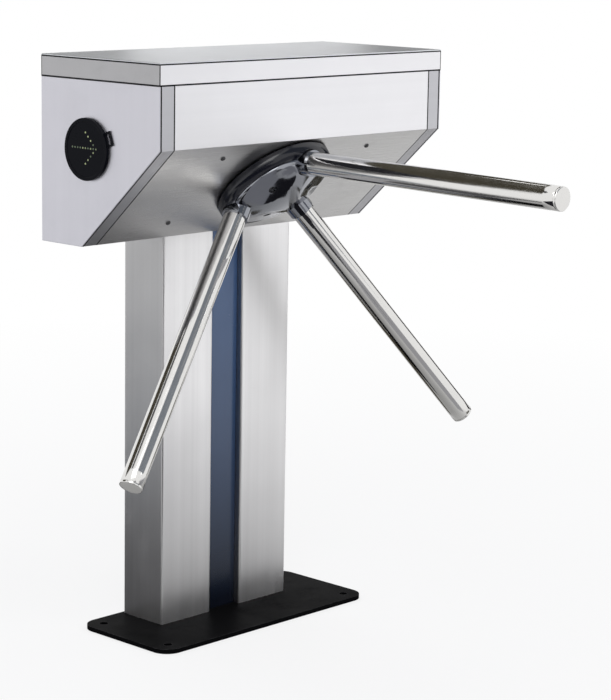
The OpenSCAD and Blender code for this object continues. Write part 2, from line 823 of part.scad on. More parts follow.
module lock_plate_spacers() color(brass) at_hub() spacer_places() {
    translate([0, 0, -lock_z]) cylinder(r = spacer_r, h = spacer_len);
    translate([0, 0, -lock_z - lock_plate_t]) cylinder(r = spacer_stud_r, h = lock_plate_t);
    translate([0, 0, -lock_z - lock_plate_t - 4]) hex(spacer_stud_r * 1.85, 4);
}

module solenoid_places() {
    both() translate([solenoid_x, -plunger_y, -pawl_z]) children();
}

module solenoids() color([0.20, 0.20, 0.22]) at_hub() solenoid_places() difference() {
    translate([0, -solenoid_size / 2 - 4, -solenoid_size / 2])
        cube([solenoid_len, solenoid_size + 8, pawl_z - lock_z - lock_plate_t + solenoid_size / 2]);
    translate([-1, 0, 0]) rotate([0, 90, 0])
        cylinder(r = plunger_r + run_gap, h = solenoid_len - 4);
}

// A coil spring as one tube along X, from end to end
module coil(r, wire_r, len, turns) {
    steps = 12;
    sides = 6;
    rings = turns * steps;
    points = [for (i = [0:rings], j = [0:sides - 1])
        let (a = 360 * i / steps, b = 360 * j / sides,
            q = r + wire_r * cos(b))
        [len * i / rings + wire_r * sin(b), q * cos(a), q * sin(a)]];
    faces = concat(
        [for (i = [0:rings - 1], j = [0:sides - 1])
            [i * sides + j, i * sides + (j + 1) % sides, (i + 1) * sides + (j + 1) % sides]],
        [for (i = [0:rings - 1], j = [0:sides - 1])
            [i * sides + j, (i + 1) * sides + (j + 1) % sides, (i + 1) * sides + j]],
        [[for (j = [sides - 1:-1:0]) j]],
        [[for (j = [0:sides - 1]) rings * sides + j]]);
    polyhedron(points, faces, convexity = 10);
}

collar_x = 12;
collar_t = 2;
spring_len = solenoid_x - pawl_x + plunger_travel - collar_x - collar_t;

module return_springs() color(polished) at_hub() solenoid_places()
    translate([-spring_len + spring_wire_r + side_gap / 3, 0, 0]) coil(plunger_r + 1.4,
        spring_wire_r, spring_len - 2 * spring_wire_r - side_gap * 2 / 3, 5);

// A plunger as it stands with its pawl free; the pin goes through the pawl's tail
module plunger() translate([pawl_x - plunger_travel, -plunger_y, -pawl_z]) {
    difference() {
        union() {
            translate([-6, 0, 0]) rotate([0, 90, 0]) cylinder(r = plunger_r, h = 58);
            translate([collar_x, 0, 0]) rotate([0, 90, 0]) cylinder(r = plunger_r + 2.5, h = collar_t);
        }
        translate([-7, -10, -plunger_slot / 2]) cube([17, 20, plunger_slot]);
    }
    translate([0, 0, -plunger_r + 0.5]) cylinder(r = link_pin_r, h = 2 * plunger_r - 1);
}

module right_plunger() color(polished) at_hub() plunger();
module left_plunger() color(polished) at_hub() mirror([1, 0, 0]) plunger();

// A pawl, drawn in mesh about its pivot and then swung free
module pawl() {
    nose = ratchet_root + 1.6 - pawl_x;
    clear = ratchet_r + 2.5 - pawl_x;
    translate([pawl_x, -pawl_y, -pawl_z - pawl_t / 2]) rotate([0, 0, -pawl_swing])
        linear_extrude(pawl_t) difference() {
            union() {
                circle(r = 10);
                polygon([
                    [nose, pawl_y - 1.9], [clear, pawl_y - 3.6], [clear - 1, pawl_y - 26],
                    [-8, 0], [8, 0], [10, pawl_y - 4], [4, pawl_y + 8], [clear, pawl_y + 3.2],
                    [nose, pawl_y + 1.3]]);
                polygon([[-8, 0], [-5, -pawl_tail - 5], [5, -pawl_tail - 5], [8, 0]]);
            }
            circle(r = pawl_pin_r + run_gap);
            for (y = [-0.8, 0.8]) translate([0, -pawl_tail + y])
                circle(r = link_pin_r + side_gap);
            translate([-link_pin_r - side_gap, -pawl_tail - 0.8])
                square([2 * link_pin_r + 2 * side_gap, 1.6]);
        }
}

module right_pawl() color(brass) at_hub() pawl();
module left_pawl() color(brass) at_hub() mirror([1, 0, 0]) pawl();

module pawl_pins() color(polished) at_hub() both() translate([pawl_x, -pawl_y, 0]) {
    translate([0, 0, -pawl_z - pawl_t / 2 - 2])
        cylinder(r = pawl_pin_r, h = pawl_t / 2 + 2 + pawl_z - lock_z);
    translate([0, 0, -pawl_z - pawl_t / 2 - 4]) cylinder(r = pawl_pin_r + 3, h = 4 - side_gap);
    translate([0, 0, -pawl_z + pawl_t / 2 + side_gap])
        cylinder(r = pawl_pin_r + 3, h = pawl_z - pawl_t / 2 - side_gap - lock_z - lock_plate_t);
}

// Gears: x and y of an involute from a base circle, at the unrolling angle t in degrees
function involute(rb, t) = rb * [cos(t) + t * PI / 180 * sin(t), sin(t) - t * PI / 180 * cos(t)];
function polar(r, a) = r * [cos(a), sin(a)];

module gear(n, thick) {
    pitch_r = gear_module * n / 2;
    base_r = pitch_r * cos(20);
    tip_r = pitch_r + gear_module;
    root_r = pitch_r - 1.25 * gear_module;
    start_r = max(base_r, root_r);
    start_t = sqrt(pow(start_r / base_r, 2) - 1) * 180 / PI;
    end_t = sqrt(pow(tip_r / base_r, 2) - 1) * 180 / PI;
    pitch_t = tan(20) * 180 / PI;
    half = 90 / n - (gear_play / 2) / pitch_r * 180 / PI + pitch_t - 20;
    flank = [for (k = [0:4]) involute(base_r, start_t + (end_t - start_t) * k / 4)];
    function turned(p, a) = [p[0] * cos(a) - p[1] * sin(a), p[0] * sin(a) + p[1] * cos(a)];
    low = [for (p = flank) turned(p, -half)];
    high = [for (k = [4:-1:0]) [low[k][0], -low[k][1]]];
    foot = atan2(-low[0][1], low[0][0]);
    tooth = concat([polar(root_r, -foot)], low, high, [polar(root_r, foot)]);
    linear_extrude(thick) polygon([for (i = [0:n - 1], p = tooth) turned(p, 360 / n * i)]);
}

module main_gear() color(zinc) at_hub() difference() {
    union() {
        translate([0, 0, -gear_z - gear_t]) gear(gear_n, gear_t);
        translate([0, 0, -gear_z]) cylinder(r = shaft_r + 5, h = gear_z - ratchet_z - ratchet_t);
    }
    translate([0, 0, -gear_z - gear_t - 1]) cylinder(r = shaft_r, h = gear_z + gear_t);
}

// The pinion's teeth stand half a pitch away from the main gear's at the line of centres
module damper_pinion() color(brass) at_hub() translate([0, -gear_centres, 0]) {
    rotate([0, 0, 90 + 180 / pinion_n]) translate([0, 0, -gear_z - gear_t]) gear(pinion_n, gear_t);
    translate([0, 0, -gear_z - gear_t])
        cylinder(r = pinion_shaft_r, h = gear_z + gear_t - lock_z + damper_len - 8);
}

module damper_body() color(blackened) at_hub() translate([0, -gear_centres, 0]) difference() {
    union() {
        translate([0, 0, -lock_z]) cylinder(r = damper_r, h = damper_len);
        translate([-damper_r - 10, -12, -lock_z]) cube([2 * damper_r + 20, 24, 4]);
    }
    translate([0, 0, -lock_z - 1]) cylinder(r = pinion_shaft_r + run_gap, h = damper_len - 4);
}

module ratchet_wheel() color(zinc) at_hub() difference() {
    union() {
        translate([0, 0, -ratchet_z - ratchet_t]) linear_extrude(ratchet_t)
            polygon([for (i = [0:ratchet_n - 1])
                each [polar(ratchet_root, ratchet_pitch * i + 3.5),
                    polar(ratchet_r, ratchet_pitch * i + 4.4),
                    polar(ratchet_r, ratchet_pitch * (i + 1) - 4.4),
                    polar(ratchet_root, ratchet_pitch * (i + 1) - 3.5)]]);
        translate([0, 0, -ratchet_z]) cylinder(r = inner_ring_r - 0.8, h = ratchet_z - bearing_back);
    }
    translate([0, 0, -ratchet_z - ratchet_t - 1]) cylinder(r = shaft_r, h = ratchet_z + ratchet_t);
}

shaft_end = gear_z + gear_t + 8;

module main_shaft() color(polished) at_hub() {
    translate([0, 0, -shaft_end]) cylinder(r = shaft_r, h = shaft_end + hub_gap + 4);
    translate([0, 0, hub_gap + 4 - eps]) cylinder(r = stud_r, h = carrier_t - 4 + nut_t + 2);
}

module shaft_fasteners() color(zinc) at_hub() {
    translate([0, 0, hub_gap + carrier_t]) difference() {
        hex(nut_r, nut_t);
        translate([0, 0, -1]) cylinder(r = stud_r, h = nut_t + 2);
    }
    ring(shaft_r + clip_w, shaft_r, -gear_z - gear_t - clip_t, -gear_z - gear_t);
}

// Hub

module hub_carrier() color(zinc) at_hub() difference() {
    union() {
        translate([0, 0, hub_gap]) cylinder(r = carrier_r, h = carrier_t);
        translate([0, 0, hub_gap]) cylinder(r = carrier_r + carrier_flange_w, h = carrier_flange_t);
        translate([0, 0, -bearing_front]) cylinder(r = inner_ring_r, h = bearing_front + hub_gap);
    }
    translate([0, 0, -bearing_front - 1]) cylinder(r = shaft_r, h = bearing_front + hub_gap + 5);
    cylinder(r = stud_r, h = hub_gap + carrier_t + 1);
    between_arms() translate([0, hub_screw_r, hub_gap - 1]) cylinder(r = hub_shank_r, h = carrier_t + 2);
}

// The ring's inner ledge is clamped between the carrier's flange and the head
module hub_ring() color(blackened) at_hub() difference() {
    skirt = 6;
    ledge_z = hub_gap + carrier_flange_t;
    ledge_r = carrier_r + carrier_flange_w + side_gap;
    rotate_extrude() polygon(concat(
        [[carrier_r + side_gap, ledge_z], [ledge_r, ledge_z], [ledge_r, hub_gap], [ring_r, hub_gap]],
        [for (q = [0:15:90]) [
            head_r + 2 + (ring_r - head_r - 2) * cos(q),
            hub_gap + skirt + (ring_top - hub_gap - skirt) * sin(q)]],
        [[head_r + side_gap, ring_top], [head_r + side_gap, hub_gap + carrier_t],
            [carrier_r + side_gap, hub_gap + carrier_t]]));
    each_arm() translate([0, 0, apex_depth]) cylinder(r = socket_r + 1, h = socket_end);
}

// The head's dome is half an ellipse over a short upright wall
module hub_dome() {
    wall_z = ring_top - 2;
    rotate_extrude() polygon(concat(
        [[0, hub_gap + carrier_t], [head_r, hub_gap + carrier_t]],
        [for (q = [0:6:90]) [head_r * cos(q), wall_z + (head_top - wall_z) * sin(q)]]));
}

module hub_head() color(polished) at_hub() difference() {
    union() {
        hub_dome();
        intersection() {
            each_arm() translate([0, 0, socket_start])
                cylinder(r = socket_r, h = socket_end - socket_start);
            translate([0, 0, head_back]) ring(socket_end + socket_r, carrier_r + 1, 0, socket_end);
        }
    }
    each_arm() translate([0, 0, arm_root]) cylinder(r = arm_r, h = socket_end);
    between_arms() translate([0, flat_r, head_top - flat_drop]) rotate([-flat_tilt, 0, 0])
        translate([-head_r, -flat_r, 0]) cube([2 * head_r, 2 * flat_r, head_top]);
    between_arms() translate([0, hub_screw_r, 0]) {
        cylinder(r = hub_shank_r, h = head_top);
        translate([0, 0, head_top - well_depth]) cylinder(r = well_r, h = 2 * well_depth);
    }
    translate([0, 0, hub_gap + carrier_t - 1]) cylinder(r = nut_r + 4, h = nut_t + 6);
    each_arm_bolt() translate([0, 0, head_back - 1]) cylinder(r = 3, h = 30);
}

module hub_screws() color(blackened) at_hub() between_arms()
    translate([0, hub_screw_r, head_top - well_depth])
        socket_screw(hub_shank_r, head_top - well_depth - hub_gap, well_r - 0.5, 2 * hub_shank_r);

// Arms

module each_arm_bolt() {
    for (k = [0:2]) rotate([0, 0, 120 * k]) translate([0, arm_bolt_r, 0]) children();
}

module arm_tubes() color(polished) at_hub() difference() {
    each_arm() difference() {
        translate([0, 0, arm_root]) cylinder(r = arm_r, h = arm_reach - cap_t - arm_root);
        translate([0, 0, arm_root - 1])
            cylinder(r = arm_r - arm_wall, h = arm_reach - cap_t - arm_root + 2);
    }
    each_arm_bolt() translate([0, 0, head_back - 1]) cylinder(r = 3, h = 30);
}

module arm_end_caps() color([0.88, 0.88, 0.86]) at_hub() each_arm() {
    translate([0, 0, arm_reach - cap_t]) rotate_extrude() polygon([
        [0, 0], [arm_r, 0], [arm_r, cap_t - 1.5], [arm_r - 0.5, cap_t - 0.5],
        [arm_r - 1.5, cap_t], [0, cap_t]]);
    ring(arm_r - arm_wall, arm_r - arm_wall - 3, arm_reach - cap_t - 18, arm_reach - cap_t + eps);
}

module arm_bolts() color(zinc) at_hub() each_arm_bolt() {
    translate([0, 0, head_back]) cylinder(r = 3, h = 28);
    translate([0, 0, hub_gap + 0.5]) cylinder(r = 5, h = head_back - hub_gap - 0.5);
}

// Electrics

board_w = 80;
board_h = 130;
board_gap = 8;
board_y = back_y - board_w - 10;
board_z = floor_z + 45;
relay = [12, 40, 30];
terminals = [15, 66, 14];
chip = [10, 24, 24];
supply = [100, 70, 42];

// The board stands on four feet on the left rib and carries a relay, a terminal strip and a chip
module control_board() color(green) {
    face_x = -rib_x - rib_t - board_gap - board_t;
    translate([face_x, board_y, board_z]) cube([board_t, board_w, board_h]);
    for (y = [board_gap, board_w - board_gap], z = [board_gap, board_h - board_gap])
        translate([face_x + board_t, board_y + y, board_z + z]) rotate([0, 90, 0])
            cylinder(r = 3, h = board_gap);
    translate([face_x - relay[0], board_y + 12, board_z + 80]) cube(relay);
    translate([face_x - terminals[0], board_y + 6, board_z + 12]) cube(terminals);
    translate([face_x - chip[0], board_y + 22, board_z + 44]) cube(chip);
}

module power_supply() color(zinc)
    translate([rib_x + 20, back_y - supply[1] - 16, floor_z + cab_floor_t]) cube(supply);

base_plate();
left_post();
right_post();
front_recess_panel();
rear_recess_panel();
head_plates();
column_bolts();
cabinet_floor();
back_panel();
front_panel();
slope_panel();
slope_screws();
left_cheek();
right_cheek();
left_end_plate();
right_end_plate();
cabinet_seals();
lid_gasket();
mechanism_ribs();
lid_rim();
lid_top();
lid_trim();
hinge_lid_leaves();
hinge_fixed_leaves();
hinge_pins();
lock_housing();
lock_barrel();
sign_bezels();
sign_lamps();
sign_boards();
chassis_plate();
chassis_bolts();
bearing_housing();
bearing_outer_rings();
bearing_inner_rings();
bearing_balls();
lock_plate();
lock_plate_spacers();
solenoids();
return_springs();
damper_body();
damper_pinion();
pawl_pins();
left_pawl();
right_pawl();
left_plunger();
right_plunger();
control_board();
power_supply();
main_shaft();
shaft_fasteners();
ratchet_wheel();
main_gear();
hub_carrier();
hub_ring();
hub_head();
hub_screws();
arm_tubes();
arm_end_caps();
arm_bolts();
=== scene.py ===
# %% [markdown]
# # A tripod turnstile
# A waist-high turnstile stands on a black base plate. Two folded posts carry a brushed steel
# cabinet, and a hub in its sloping panel swings three polished arms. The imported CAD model
# already gives every piece its place and size, so this lesson adds what a workshop adds last:
# broken edges, brushed and polished metal, paint, small screws and lamps, and a studio.

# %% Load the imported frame
import json
from math import atan2, cos, pi, radians, sin

import bmesh
import bpy
from mathutils import Matrix, Vector

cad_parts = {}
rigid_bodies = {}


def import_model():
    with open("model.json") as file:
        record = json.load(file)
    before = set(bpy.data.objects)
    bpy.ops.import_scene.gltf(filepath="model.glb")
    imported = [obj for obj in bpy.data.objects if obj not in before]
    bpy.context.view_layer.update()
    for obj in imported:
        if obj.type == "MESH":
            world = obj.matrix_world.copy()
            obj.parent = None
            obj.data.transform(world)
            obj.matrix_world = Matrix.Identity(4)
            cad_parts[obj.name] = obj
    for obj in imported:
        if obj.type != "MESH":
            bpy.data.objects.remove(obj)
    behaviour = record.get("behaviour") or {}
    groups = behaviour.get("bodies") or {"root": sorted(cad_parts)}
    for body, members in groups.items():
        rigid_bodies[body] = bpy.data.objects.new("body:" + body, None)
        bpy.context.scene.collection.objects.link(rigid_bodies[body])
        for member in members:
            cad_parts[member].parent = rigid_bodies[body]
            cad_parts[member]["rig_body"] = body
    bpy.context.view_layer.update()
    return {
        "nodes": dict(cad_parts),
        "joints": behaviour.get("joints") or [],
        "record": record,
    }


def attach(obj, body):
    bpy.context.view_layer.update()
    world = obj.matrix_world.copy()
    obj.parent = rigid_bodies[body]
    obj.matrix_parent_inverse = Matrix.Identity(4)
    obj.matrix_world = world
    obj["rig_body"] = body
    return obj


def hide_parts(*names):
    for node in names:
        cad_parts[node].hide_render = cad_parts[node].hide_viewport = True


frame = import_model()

joints = {joint["name"]: joint for joint in frame["joints"]}


def linked(name, data):
    """A new object in the scene for a mesh, a lamp or a camera."""
    made = bpy.data.objects.new(name, data)
    bpy.context.scene.collection.objects.link(made)
    return made


# %% [markdown]
# ## The camera
# The picture was taken from waist height, well to the left of the passage, with a long lens.
# A camera can be aimed by eye, but its place, turn and lens were solved from the corners of
# the cabinet, so they are written here as angles and metres and turned into a matrix.

# %% Camera
CAMERA_PLACE = Vector((-2.76878, -2.80616, 1.21637))
YAW, PITCH, ROLL = radians(46.52), radians(10.72), radians(0.96)
LENS = 120.12

level_right = Vector((cos(YAW), -sin(YAW), 0))
ahead = Vector((sin(YAW) * cos(PITCH), cos(YAW) * cos(PITCH), -sin(PITCH)))
level_up = level_right.cross(ahead)
right = level_right * cos(ROLL) + level_up * sin(ROLL)
up = level_up * cos(ROLL) - level_right * sin(ROLL)

camera = linked("Camera", bpy.data.cameras.new("Camera"))
camera.data.lens = LENS
camera.data.clip_end = 60
camera.matrix_world = Matrix.Translation(CAMERA_PLACE) @ Matrix((right, up, -ahead)).transposed().to_4x4()
bpy.context.scene.camera = camera
bpy.context.scene.view_settings.view_transform = "Standard"
print("camera looks along", [round(part, 3) for part in ahead])

# %% [markdown]
# ## Building node trees
# Shaders and Geometry Nodes are both trees of nodes. Wiring them by hand takes three lines a
# node, so one helper adds a node, sets its own settings and fills its sockets. A socket that
# is given another node's output is linked, and any other value is typed in.

# %% Node helpers
def put(tree, kind, inputs=None, **settings):
    """Adds a node; settings are its own properties, inputs fill its sockets by name or number."""
    made = tree.nodes.new(kind)
    for name, value in settings.items():
        setattr(made, name, value)
    for key, value in (inputs or {}).items():
        if isinstance(value, bpy.types.NodeSocket):
            tree.links.new(value, made.inputs[key])
        else:
            made.inputs[key].default_value = value
    return made


def maths(tree, operation, *terms):
    """One Math node on one to three values."""
    return put(tree, "ShaderNodeMath", dict(enumerate(terms)), operation=operation).outputs[0]


def remapped(tree, value, low, high, to_low=0.0, to_high=1.0):
    """A value moved from one range to another and held inside it."""
    sockets = {"Value": value, "From Min": low, "From Max": high, "To Min": to_low, "To Max": to_high}
    return put(tree, "ShaderNodeMapRange", sockets).outputs["Result"]


def blended(tree, factor, first, second):
    """A colour between two colours; the numbers are a Mix node's colour sockets."""
    return put(tree, "ShaderNodeMix", {0: factor, 6: first, 7: second}, data_type="RGBA").outputs[2]


def mixed(tree, factor, first, second):
    """A shader between two shaders."""
    return put(tree, "ShaderNodeMixShader", {0: factor, 1: first, 2: second}).outputs[0]


def glow(tree, colour):
    """A surface that gives off one colour."""
    return put(tree, "ShaderNodeEmission", {"Color": colour, "Strength": 1.0}).outputs[0]


def on_model(tree):
    """The place of the shaded point on the model, in metres."""
    return put(tree, "ShaderNodeTexCoord").outputs["Object"]


def noise(tree, place, scale, detail=2.0, roughness=0.5):
    """Smooth noise from 0 to 1 over a place."""
    sockets = {"Vector": place, "Scale": scale, "Detail": detail, "Roughness": roughness}
    return put(tree, "ShaderNodeTexNoise", sockets).outputs[0]


def bare_material(name):
    """A material with an empty node tree; returns both."""
    material = bpy.data.materials.new(name)
    material.use_nodes = True
    material.node_tree.nodes.clear()
    return material, material.node_tree


SOCKETS = {int: "NodeSocketInt", float: "NodeSocketFloat", tuple: "NodeSocketVector"}


def new_tree(name, kind, inputs, outputs):
    """A node group with named sockets; returns it with its inputs' and outputs' sockets."""
    tree = bpy.data.node_groups.new(name, kind)
    for label, default in inputs.items():
        if isinstance(default, str):
            tree.interface.new_socket(label, in_out="INPUT", socket_type="NodeSocket" + default)
        else:
            socket = tree.interface.new_socket(label, in_out="INPUT", socket_type=SOCKETS[type(default)])
            socket.default_value = default
    for label, socket_type in outputs.items():
        tree.interface.new_socket(label, in_out="OUTPUT", socket_type="NodeSocket" + socket_type)
    return tree, tree.nodes.new("NodeGroupInput").outputs, tree.nodes.new("NodeGroupOutput").inputs


print("helpers ready")

# %% [markdown]
# ## The studio
# Metal only looks like metal when it has something to reflect. The backdrop is white for the
# camera and for reflections, while the light that it sheds stays soft and modest. Large soft
# lamps model the panels, and metal mirrors the floor darker the nearer it is to the column, as
# it would if the column's own shade lay on it.

# %% World and floor
def seen_rays(tree):
    """1 for rays from the camera and through metal or glass, 0 for the light that falls on things."""
    path = put(tree, "ShaderNodeLightPath").outputs
    mirrored = maths(tree, "MAXIMUM", path["Is Glossy Ray"], path["Is Transmission Ray"])
    return maths(tree, "MAXIMUM", path["Is Camera Ray"], mirrored)


WHITE = (1.0, 1.0, 1.0, 1.0)
BLACK = (0.0, 0.0, 0.0, 1.0)
AMBIENT = 0.62

world = bpy.data.worlds.new("Studio")
bpy.context.scene.world = world
world.use_nodes = True
sky = world.node_tree
sky.nodes.clear()
ambient = put(sky, "ShaderNodeBackground", {"Color": (0.96, 0.97, 1.0, 1.0), "Strength": AMBIENT})
backdrop = put(sky, "ShaderNodeBackground", {"Color": WHITE, "Strength": 1.0})
shown = mixed(sky, seen_rays(sky), ambient.outputs[0], backdrop.outputs[0])
put(sky, "ShaderNodeOutputWorld", {"Surface": shown})


def card(name, centre, across, upward, material):
    """A flat studio card round a centre, spanned by two half sides."""
    corners = [Vector(centre) + a * Vector(across) + b * Vector(upward)
               for a, b in ((-1, -1), (1, -1), (1, 1), (-1, 1))]
    mesh = bpy.data.meshes.new(name)
    mesh.from_pydata(corners, [], [(0, 1, 2, 3)])
    mesh.materials.append(material)
    made = linked(name, mesh)
    return made


SHADOW_FADE = (0.5, 3.0, 0.76, 1.0)
MIRROR_FADE = (0.15, 1.5, 0.30, 1.0)


def floor_paint():
    """A pale floor that keeps the shadow near the object, turns pure white further away, and
    that metal mirrors darker the nearer it is to the column. Each fade goes from a near to a far
    distance, and from a share at the one to a share at the other."""
    material, tree = bare_material("studio_floor")
    surface = put(tree, "ShaderNodeBsdfDiffuse", {"Color": (0.88, 0.88, 0.89, 1.0)}).outputs[0]
    away = put(tree, "ShaderNodeVectorMath", {0: on_model(tree)}, operation="LENGTH").outputs["Value"]
    share = maths(tree, "MULTIPLY", seen_rays(tree), remapped(tree, away, *SHADOW_FADE))
    mirrored = put(tree, "ShaderNodeLightPath").outputs["Is Glossy Ray"]
    shade = blended(tree, remapped(tree, away, *MIRROR_FADE), BLACK, WHITE)
    chosen = mixed(tree, mirrored, mixed(tree, share, surface, glow(tree, WHITE)), glow(tree, shade))
    put(tree, "ShaderNodeOutputMaterial", {"Surface": chosen})
    return material


FLOOR_HALF = 12.0
FLOOR_DROP = 0.0004
card("Floor", (0, 0, -FLOOR_DROP), (FLOOR_HALF, 0, 0), (0, FLOOR_HALF, 0), floor_paint())
print("world light", AMBIENT)

# %% Lamps
def soft_lamp(name, place, target, size, watts):
    """A square area lamp that faces its target."""
    lamp = bpy.data.lights.new(name, "AREA")
    lamp.size = size
    lamp.energy = watts
    made = linked(name, lamp)
    made.location = place
    made.rotation_euler = (Vector(target) - Vector(place)).to_track_quat("-Z", "Y").to_euler()


MIDDLE = (0, 0, 0.6)
soft_lamp("Key lamp", (-2.6, -2.2, 3.2), MIDDLE, 2.4, 46)
soft_lamp("Passage lamp", (1.6, -3.4, 2.4), MIDDLE, 2.0, 26)
soft_lamp("Rear lamp", (1.2, 3.0, 3.0), MIDDLE, 2.4, 30)
print("soft lamps:", len(bpy.data.lights))

# %% [markdown]
# ## Cards that only reflections see
# A photographer draws the dark and bright lines in metal with cards just outside the picture.
# Here a card is a flat sheet that gives off one even colour, and neither the camera nor the
# light that falls on things meets it. A net is a card that is clear from behind, so what
# stands behind it still mirrors the room. A carpet is a card that lies on the floor.

# %% Card helpers
def card_paint(name, colour, one_sided=False):
    """The even colour of a card that only reflections see; a one-sided card is clear from behind."""
    material, tree = bare_material(name)
    surface = glow(tree, (*colour, 1.0))
    if one_sided:
        behind = put(tree, "ShaderNodeNewGeometry").outputs["Backfacing"]
        surface = mixed(tree, behind, surface, put(tree, "ShaderNodeBsdfTransparent").outputs[0])
    put(tree, "ShaderNodeOutputMaterial", {"Surface": surface})
    return material


def reflection_card(name, centre, across, upward, paint):
    """A card that shows in reflections alone: it casts no shadow and the camera passes it."""
    made = card(name, centre, across, upward, paint)
    for ray in ("camera", "diffuse", "transmission", "volume_scatter", "shadow"):
        setattr(made, "visible_" + ray, False)


CARPET_Z = 0.0012


def carpet(name, middle, across, away, paint):
    """A reflection card on the floor, spanned by two half sides."""
    reflection_card(name, (*middle, CARPET_Z), (*across, 0), (*away, 0), paint)


black_cloth = card_paint("black_cloth", (0.020, 0.020, 0.024))
olive_cloth = card_paint("olive_cloth", (0.062, 0.056, 0.042))
grey_cloth = card_paint("grey_cloth", (0.20, 0.22, 0.25))
dark_cloth = card_paint("dark_cloth", (0.085, 0.085, 0.09))
pale_cloth = card_paint("pale_cloth", (0.36, 0.36, 0.38))
bright_cloth = card_paint("bright_cloth", (1.5, 1.5, 1.52))
black_net = card_paint("black_net", (0.020, 0.020, 0.024), one_sided=True)
print("card paints ready")

# %% [markdown]
# ## What the arms and the hub mirror
# A polished tube squeezes the whole room into a few lines. The long wall behind draws the broad
# dark band on the barrier arm, the sheet overhead the grey one on the left arm, and the net
# takes the glare of the front panel off the barrier arm. Two small flags under the hub part its
# dome into a pale and a black side.

# %% Cards for the arms and the hub
reflection_card("Olive wall behind", (0.05, 2.1, 3.2), (3.25, 0, 0), (0, 0, 1.65), olive_cloth)
reflection_card("Grey sheet overhead",
                (0.79, -2.21, 2.145), (-1.04, 0.46, 0.775), (-0.585, -0.52, -0.47), grey_cloth)
reflection_card("Black flag on the right", (2.2, -0.10, 0.74), (0, 0.36, 0), (0, 0, 0.68), black_cloth)
reflection_card("Dark sheet above the left",
                (-1.25, 0.25, 2.2), (0.20, 0.15, 0.10), (-0.12, 0.22, -0.10), dark_cloth)
reflection_card("Pale flag under the hub", (-0.07, -0.18, 0.655), (0.065, 0, 0), (0, 0.05, 0), pale_cloth)
reflection_card("Black flag under the hub", (0.035, -0.18, 0.655), (0.040, 0, 0), (0, 0.05, 0), black_cloth)
reflection_card("Black net before the front panel",
                (-0.19, -0.181, 0.915), (0.125, 0, 0), (-0.045, 0, 0.070), black_net)
carpet("Pale carpet in the passage", (0.30, -2.10), (0.38, 0), (0, 1.45), pale_cloth)

# %% [markdown]
# ## What the sheet metal mirrors
# Brushed steel blurs the room, and at a low angle it blurs it upwards only. So a bright sheet
# with a dark one on either side gives the lid its light middle, and a sheet beside the passage
# tones down the left end of the front. The folded corners of the posts look back towards the
# camera, where a black card and a black carpet draw their dark line. The other carpets shade
# the panels' ends, the posts and the flats of the hub from below.

# %% Cards for the sheet metal
reflection_card("Dark sheet behind the lid", (1.28, 2.42, 1.32), (-0.42, 0.28, 0), (0, 0, 0.26), dark_cloth)
reflection_card("Bright sheet behind the lid",
                (2.08, 2.04, 1.32), (0.36, -0.10, 0), (0, 0, 0.26), bright_cloth)
reflection_card("Dark sheet behind the right end",
                (2.75, 1.50, 1.32), (0.29, -0.42, 0), (0, 0, 0.26), dark_cloth)
reflection_card("Grey sheet beside the passage",
                (1.46, -2.62, 1.10), (0.30, 0.22, 0), (0, 0, 0.28), grey_cloth)
reflection_card("Black card behind the camera", (-4.0, -4.0, 0.6), (1.6, -1.6, 0), (0, 0, 0.6), black_cloth)
carpet("Black carpet towards the camera", (-1.85, -1.85), (-1.35, -1.35), (0.70, -0.70), black_cloth)
carpet("Olive carpet on the right", (1.58, 0.78), (0.48, 0), (0, 0.48), olive_cloth)
carpet("Olive carpet before the passage", (1.40, -0.38), (0.50, 0), (0, 0.26), olive_cloth)
carpet("Olive carpet behind the column", (0.34, 0.36), (0.17, 0), (0, 0.29), olive_cloth)
carpet("Dark carpet behind", (-0.48, 0.43), (0.34, 0), (0, 0.33), dark_cloth)
carpet("Grey carpet on the left", (-1.60, 1.68), (-0.90, 0.95), (0.22, 0.20), grey_cloth)

# %% [markdown]
# ## Effects that several finishes share
# Brushed grain, cloudy variation, handling marks, edges that wear bright, dust and the peel of
# a powder coat turn up on many materials. Each is a node group that is built once and placed
# with its own values. They put out masks and normals only, so the shader stays in the material.

# %% Group: brushed grain
def grain_group():
    """Fine lines, wider streaks and the normal of the lines, stretched by a frequency per axis."""
    tree, given, gives = new_tree(
        "Brushed grain", "ShaderNodeTree",
        {"Frequency": (8.0, 1800.0, 1800.0), "Streak share": 0.02, "Depth": 0.3},
        {"Lines": "Float", "Streaks": "Float", "Normal": "Vector"})
    place = on_model(tree)
    stretch = {0: place, 1: given["Frequency"]}
    fine = put(tree, "ShaderNodeVectorMath", stretch, operation="MULTIPLY").outputs[0]
    share = {0: fine, "Scale": given["Streak share"]}
    wide = put(tree, "ShaderNodeVectorMath", share, operation="SCALE").outputs[0]
    lines = noise(tree, fine, 1.0, 3.0, 0.6)
    streaks = noise(tree, wide, 1.0, 4.0, 0.62)
    bump = put(tree, "ShaderNodeBump", {"Height": lines, "Strength": given["Depth"], "Distance": 0.00002})
    tree.links.new(lines, gives["Lines"])
    tree.links.new(streaks, gives["Streaks"])
    tree.links.new(bump.outputs[0], gives["Normal"])
    return tree


grain = grain_group()
print("group", grain.name)

# %% Group: clouds and handling marks
def cloud_group():
    """Broad, soft variation of a surface, about 0.5 on average."""
    tree, given, gives = new_tree("Soft clouds", "ShaderNodeTree", {"Size": 0.12}, {"Cloud": "Float"})
    place = on_model(tree)
    scale = maths(tree, "DIVIDE", 1.0, given["Size"])
    tree.links.new(noise(tree, place, scale, 3.0, 0.55), gives["Cloud"])
    return tree


